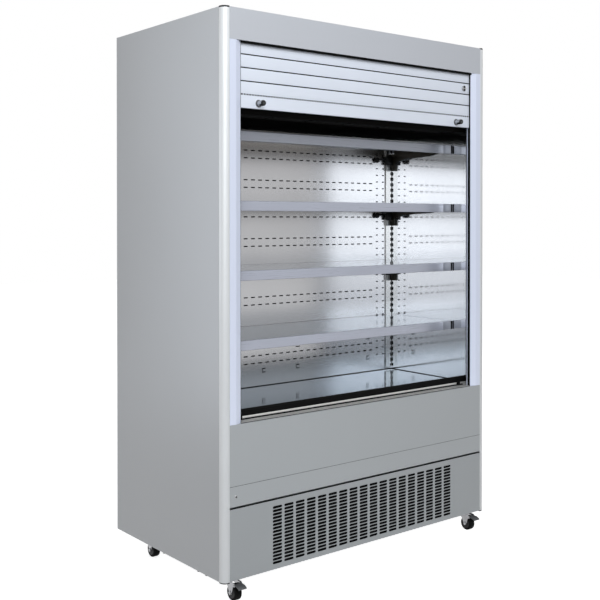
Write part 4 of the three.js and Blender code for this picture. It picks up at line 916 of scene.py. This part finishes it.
for side in SIDES:
    low, high = span(f"lock_barrel_{side}", 1)
    u, v = LOCK[side]
    body = f"lock_{side}"
    barrel = Form().lathe("y", (u, v), [
        (low + 1.0, 6.2), (low, 6.8), (low, 7.4), (low + 0.8, 8.6), (low + 2.2, BARREL_RADIUS),
        (high - 0.6, BARREL_RADIUS), (high, BARREL_RADIUS - 0.8)], 44)
    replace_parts(barrel.done(f"lock_{side}_barrel", "chrome", body), f"lock_barrel_{side}")
    plug = Form().lathe("y", (u, v), [
        (low - 0.3, 7.6), (low - 0.3, 8.2), (low + 1.6, 9.12), (low + 3.0, 9.14)], 36)
    plug.done(f"lock_{side}_plug", "black_plastic", body)
    keyway = Form().box((u - 0.7, u + 0.7), (low - 0.4, low + 0.3), (v - 3.4, v + 3.4), 0.2, 1)
    keyway.done(f"lock_{side}_keyway", "chrome", body)
    bezel = Form().lathe("y", (u, v), [
        (BAR_FRONT - 1.6, 9.5), (BAR_FRONT - 1.8, 10.4), (BAR_FRONT - 1.0, 11.8), (BAR_FRONT, 12.2),
        (BAR_FRONT, 9.5)], 44)
    bezel.done(f"lock_{side}_bezel", "pedal", "shutter")

# Round button at the right end of a slat, with its two pins.
PIN_OFFSET = 6.0
button_x, button_z = middle("slat_button", 0), middle("slat_button", 2)
low, high = span("slat_button", 1)
button = Form().lathe("y", (button_x, button_z), [
    (low + 0.9, 6.6), (low + 0.1, 7.6), (low, 8.4), (low + 1.2, 9.8), (high, 10.0)], 44)
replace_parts(button.done("button_cup", "chrome", "shutter"), "slat_button")
pins = Form()
for dz in (-PIN_OFFSET, PIN_OFFSET):
    pins.lathe("y", (button_x, button_z + dz), [(low - 0.4, 3.6), (low - 0.2, 4.4), (low + 1.0, 4.6)], 20)
pins.done("button_pins", "black_plastic", "shutter")

# Brush piles in the guide tracks: one in front of the slats, and a thin one against their ends. Besides
# sealing, their black is painted shade inside the tracks.
GUIDE = (LEDGE + 1, span("fascia_panel", 2)[0] - 1)
FRONT_PILE_INSET, FRONT_PILE = (34, 72.8), (10.3, 13.6)
THIN_PILE_INSET, THIN_PILE = (31, 69.8), (21.08, 21.38)
for side in SIDES:
    pile = Form()
    pile.box(reach(side, *FRONT_PILE_INSET), FRONT_PILE, GUIDE, 0.3, 1)
    pile.box(reach(side, *THIN_PILE_INSET), THIN_PILE, GUIDE)
    pile.done(f"guide_brush_{side}", "brush")


# ---------------------------------------------------------------- castors

# The kingpin stands TRAIL behind the axle, and the brake pedal's pivot PIVOT_FORWARD in front of the kingpin.
TRAIL = 22
FORK_INNER, FORK_OUTER = 13.0, 15.5
PIVOT_FORWARD, PIVOT_Z = 38, -19.0
WHEEL_RADIUS = 25.0
SPOKES = 5
SPOKE_CIRCLE = 12.2
PEDAL_REACH = 68
PEDAL_RIBS = 4
PLATE_BOLT = 24


def castor_fork(corner, x, y, axle, brake):
    """Swivel head on its kingpin at (x, y), fork arms, axle with its nuts, and the pedal's pivot."""
    top = span(f"castor_fork_{corner}", 2)[1]
    pivot_y, pivot_z = y - PIVOT_FORWARD, PIVOT_Z
    head = Form()
    head.lathe("z", (x, y), [
        (top - 7.2, 14.0), (top - 6.6, 16.0), (top - 4.6, 18.6), (top - 3.2, 19), (top - 1.0, 19),
        (top, 18.2)], 44)
    head.lathe("z", (x, y), [(top - 13.6, 4.0), (top - 13.4, 7.2), (top - 12.6, 8.0), (top - 10.3, 8.0)], 6)
    arm = [(y + 12, top - 7.2), (pivot_y + 2, top - 7.2), (pivot_y - 3, top - 9.0),
           (pivot_y - 4.4, pivot_z + 3), (pivot_y - 3.6, pivot_z - 3.4), (pivot_y + 2.5, pivot_z - 4.4),
           *arc(axle, 6.6, 190, 360, 9), (y - 4, pivot_z - 6), (y + 10, pivot_z + 2)]
    for ends in ((x + FORK_INNER, x + FORK_OUTER), (x - FORK_OUTER, x - FORK_INNER)):
        head.prism("x", arm, ends, 0.5)
    head.box((x - FORK_OUTER, x + FORK_OUTER), (y - 14, y + 12), (top - 10.2, top - 7.2), 0.8)
    head.lathe("x", axle, [(x - FORK_OUTER, 4), (x + FORK_OUTER, 4)], 24)
    head.lathe("x", axle, [(x - 19.0, 4.6), (x - 18.4, 6.2), (x - FORK_OUTER, 6.4)], 6)
    head.lathe("x", axle, [(x + FORK_OUTER, 6.4), (x + 18.4, 6.2), (x + 19.0, 4.6)], 6)
    if brake:
        head.lathe("x", (pivot_y, pivot_z), [(x - 16.6, 3.0), (x + 16.6, 3.0)], 20)
    fork = head.done(f"fork_{corner}", "chrome", f"castor_{corner}")
    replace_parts(fork, f"castor_fork_{corner}")


def castor_wheel(corner, x, axle):
    """Tyre with rounded shoulders, and a dished hub with its spokes."""
    roll = f"wheel_{corner}"
    tread = symmetric(x, [(12.2, 17.4), (12.2, 21.4), (11.6, 23.4), (10.2, 24.6), (8.0, WHEEL_RADIUS)])
    tyre = Form().lathe("x", axle, tread, 64)
    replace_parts(tyre.done(f"tyre_{corner}", "rubber", roll), f"castor_wheel_{corner}")
    hub = Form()
    for s in (-1, 1):
        hub.lathe("x", axle, sorted([
            (x + s * 8.0, 17.3), (x + s * 12.3, 17.3), (x + s * 12.3, 15.6), (x + s * 9.6, 14.6),
            (x + s * 9.6, 9.6), (x + s * 12.6, 8.4), (x + s * 12.6, 4.2)],
            key=lambda step: s * step[0])[::s], 40)
    for spoke in circle(*axle, SPOKE_CIRCLE, SPOKES):
        hub.lathe("x", spoke, [(x - 10.6, 1.7), (x + 10.6, 1.7)], 12)
    hub.done(f"hub_{corner}", "black_plastic", roll)


def brake_pedal(corner, x, y):
    """Curved tread plate on its pivot, with ribs across it."""
    pivot_y, pivot_z = y - PIVOT_FORWARD, PIVOT_Z
    press = f"pedal_{corner}"
    tip = y - PEDAL_REACH
    tread = [(pivot_y - 5.6, pivot_z + 4.0), (tip + 12, pivot_z + 2.6), (tip + 3, pivot_z - 1.6),
             (tip, pivot_z - 4.4), (tip, pivot_z - 6.4), (tip + 4, pivot_z - 4.4), (tip + 12, pivot_z - 0.8),
             (pivot_y - 5.6, pivot_z + 0.6)]
    pedal = Form().prism("x", tread, (x - 15, x + 15), 0.5)
    pedal.box((x - 12.2, x + 12.2), (pivot_y - 7, pivot_y + 1), (pivot_z + 0.8, pivot_z + 3.8), 0.5)
    pedal.lathe("x", (pivot_y, pivot_z), [(x - 12.4, 3.9), (x + 12.4, 3.9)], 24)
    for i in range(PEDAL_RIBS):
        rib = tip + 6 + i * 4.4
        height = pivot_z + 2.9 - max(0, 3 - i) * 1.0
        pedal.box((x - 12, x + 12), (rib, rib + 1.6), (height - 1.2, height + 0.9), 0.3)
    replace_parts(pedal.done(f"pedal_{corner}", "pedal", press), f"brake_pedal_{corner}")


# Four castors, and the bolts of their plates.
bolts = Form()
for corner in CORNERS:
    x, axle_y, axle_z = (middle(f"castor_wheel_{corner}", axis) for axis in range(3))
    stem_y = axle_y + TRAIL
    castor_fork(corner, x, stem_y, (axle_y, axle_z), corner in FRONT_CORNERS)
    castor_wheel(corner, x, (axle_y, axle_z))
    if corner in FRONT_CORNERS:
        brake_pedal(corner, x, stem_y)
    for dx in (-PLATE_BOLT, PLATE_BOLT):
        for dy in (-PLATE_BOLT, PLATE_BOLT):
            bolts.lathe("z", (x + dx, stem_y + dy), [(-6.6, 3.4), (-6.2, 4.4), (-3.0, 4.6)], 6)
bolts.done("castor_bolts", "zinc")

# Studs under the side edges of the base.
STUD_INSET = 20
STUDS_Y = (123, 169, 382)
studs = Form()
for y in STUDS_Y:
    for side in SIDES:
        studs.lathe("z", (across(side, STUD_INSET), y), [
            (-14, 3.0), (-13, 4.6), (-8, 5.0), (-7.8, 6.6), (-0.2, 6.6)], 20)
studs.done("base_studs", "black_plastic")


# ---------------------------------------------------------------- stage and light

def seen_directly(tree):
    """1 for what the camera, metal and glass see, 0 for light that falls on matt surfaces."""
    light_path = tree.nodes.new("ShaderNodeLightPath")
    value = light_path.outputs["Is Camera Ray"]
    for name in ("Is Glossy Ray", "Is Transmission Ray"):
        either = tree.nodes.new("ShaderNodeMath")
        either.operation = "MAXIMUM"
        tree.links.new(value, either.inputs[0])
        tree.links.new(light_path.outputs[name], either.inputs[1])
        value = either.outputs[0]
    return value


# Brightness of the world on matt surfaces, and the white that the floor adds to itself where it is seen.
WORLD_LEVEL = 0.3
WORLD_COLOUR = (0.97, 0.985, 1.0)
FLOOR_OWN_WHITE = 0.84
FLOOR_BOUNCE = linear(130)
FLOOR_REACH = 14.0
COOL = (0.93, 0.97, 1.0)


def floor_material():
    """Matt floor that takes shadows. Seen directly, some white is added, so that it meets the background."""
    s = Shader("floor_pale", specular=0.0)
    s.bsdf.inputs["Roughness"].default_value = 1.0
    seen = seen_directly(s.tree)
    pale = s.mix(s.ranged(s.noise(3, detail=2), 0, 1), linear(222), linear(226))
    s.colour(s.mix(seen, FLOOR_BOUNCE, pale))
    scaled = s.tree.nodes.new("ShaderNodeMath")
    scaled.operation = "MULTIPLY"
    scaled.inputs[1].default_value = FLOOR_OWN_WHITE
    s.link(seen, scaled.inputs[0])
    s.bsdf.inputs["Emission Color"].default_value = (1, 1, 1, 1)
    s.link(scaled.outputs[0], s.bsdf.inputs["Emission Strength"])
    return s.material


def flat_sheet(name, width, depth, material):
    """Flat rectangle about its own middle."""
    corners = [(sx * width / 2, sy * depth / 2, 0) for sx, sy in ((-1, -1), (1, -1), (1, 1), (-1, 1))]
    mesh = bpy.data.meshes.new(name)
    mesh.from_pydata(corners, [], [(0, 1, 2, 3)])
    mesh.materials.append(material)
    sheet = bpy.data.objects.new(name, mesh)
    bpy.context.scene.collection.objects.link(sheet)
    return sheet


def lay_floor():
    floor = flat_sheet("floor", 2 * FLOOR_REACH, 2 * FLOOR_REACH, floor_material())


def face_towards(obj, place, target):
    """Puts a lamp or card at a place, with its front to a target, both in the frame's metres."""
    obj.location = place
    obj.rotation_euler = (Vector(target) - Vector(place)).to_track_quat("-Z", "Y").to_euler()


def light_world():
    """White where it is seen directly, and a low soft light on matt surfaces."""
    world = bpy.data.worlds.new("studio")
    bpy.context.scene.world = world
    world.use_nodes = True
    tree = world.node_tree
    tree.nodes.clear()
    surface = tree.nodes.new("ShaderNodeOutputWorld").inputs["Surface"]
    seen = tree.nodes.new("ShaderNodeBackground")
    seen.inputs["Color"].default_value = (1, 1, 1, 1)
    seen.inputs["Strength"].default_value = 1.0
    lit = tree.nodes.new("ShaderNodeBackground")
    lit.inputs["Color"].default_value = (*WORLD_COLOUR, 1)
    lit.inputs["Strength"].default_value = WORLD_LEVEL
    choice = tree.nodes.new("ShaderNodeMixShader")
    tree.links.new(seen_directly(tree), choice.inputs["Fac"])
    tree.links.new(lit.outputs[0], choice.inputs[1])
    tree.links.new(seen.outputs[0], choice.inputs[2])
    tree.links.new(choice.outputs[0], surface)


def softbox(name, place, target, size, radiance, colour=(1, 1, 1)):
    """Rectangular lamp of a given brightness, which metal shows as a bright card."""
    data = bpy.data.lights.new(name, "AREA")
    data.shape = "RECTANGLE"
    data.size, data.size_y = size
    data.energy = radiance * math.pi * size[0] * size[1]
    data.color = colour
    lamp = bpy.data.objects.new(name, data)
    face_towards(lamp, place, target)
    bpy.context.scene.collection.objects.link(lamp)


def card(name, place, target, size, colour, strength=1.0):
    """Card beside the object that only glossy surfaces show; it casts no light and no shadow."""
    s = Shader(name)
    s.colour(s.mix(s.ranged(s.noise(3), 0, 1), shade(colour, 0.97), shade(colour, 1.03)))
    s.bsdf.inputs["Roughness"].default_value = 1.0
    s.bsdf.inputs["Emission Color"].default_value = (*colour, 1)
    s.bsdf.inputs["Emission Strength"].default_value = strength
    sheet = flat_sheet(name, *size, s.material)
    face_towards(sheet, place, target)
    sheet.visible_camera = False
    sheet.visible_diffuse = False
    sheet.visible_shadow = False


lay_floor()
light_world()
softbox("card_left", (-3.3, -3.7, 1.5), (0, 0, 1.1), (2.4, 1.9), 2.2, COOL)
softbox("key", (-1.8, -2.6, 3.4), (0, 0, 1.0), (1.7, 1.7), 7.2, COOL)
softbox("fill_front", (-0.2, -3.6, 3.2), (0.4, 0, 1.7), (1.2, 1.2), 3.5, COOL)
softbox("fill_back", (2.9, 3.6, 2.6), (0, 0, 1.0), (2.0, 2.0), 3.0)
card("card_right", (3.0, 0.9, 1.2), (0.6, -0.3, 1.2), (3.4, 3.2), linear(12))
card("card_low", (-3.3, -3.6, 0.03), (-3.3, -3.6, -1.0), (4.4, 4.0), linear(140, (-8, 0, 12)))
card("card_back_left", (-2.55, 1.85, 1.3), (-0.6, 0.0, 1.1), (1.0, 2.6), linear(250, (-10, -4, 4)), 3.6)

bpy.context.scene.view_settings.view_transform = "Standard"
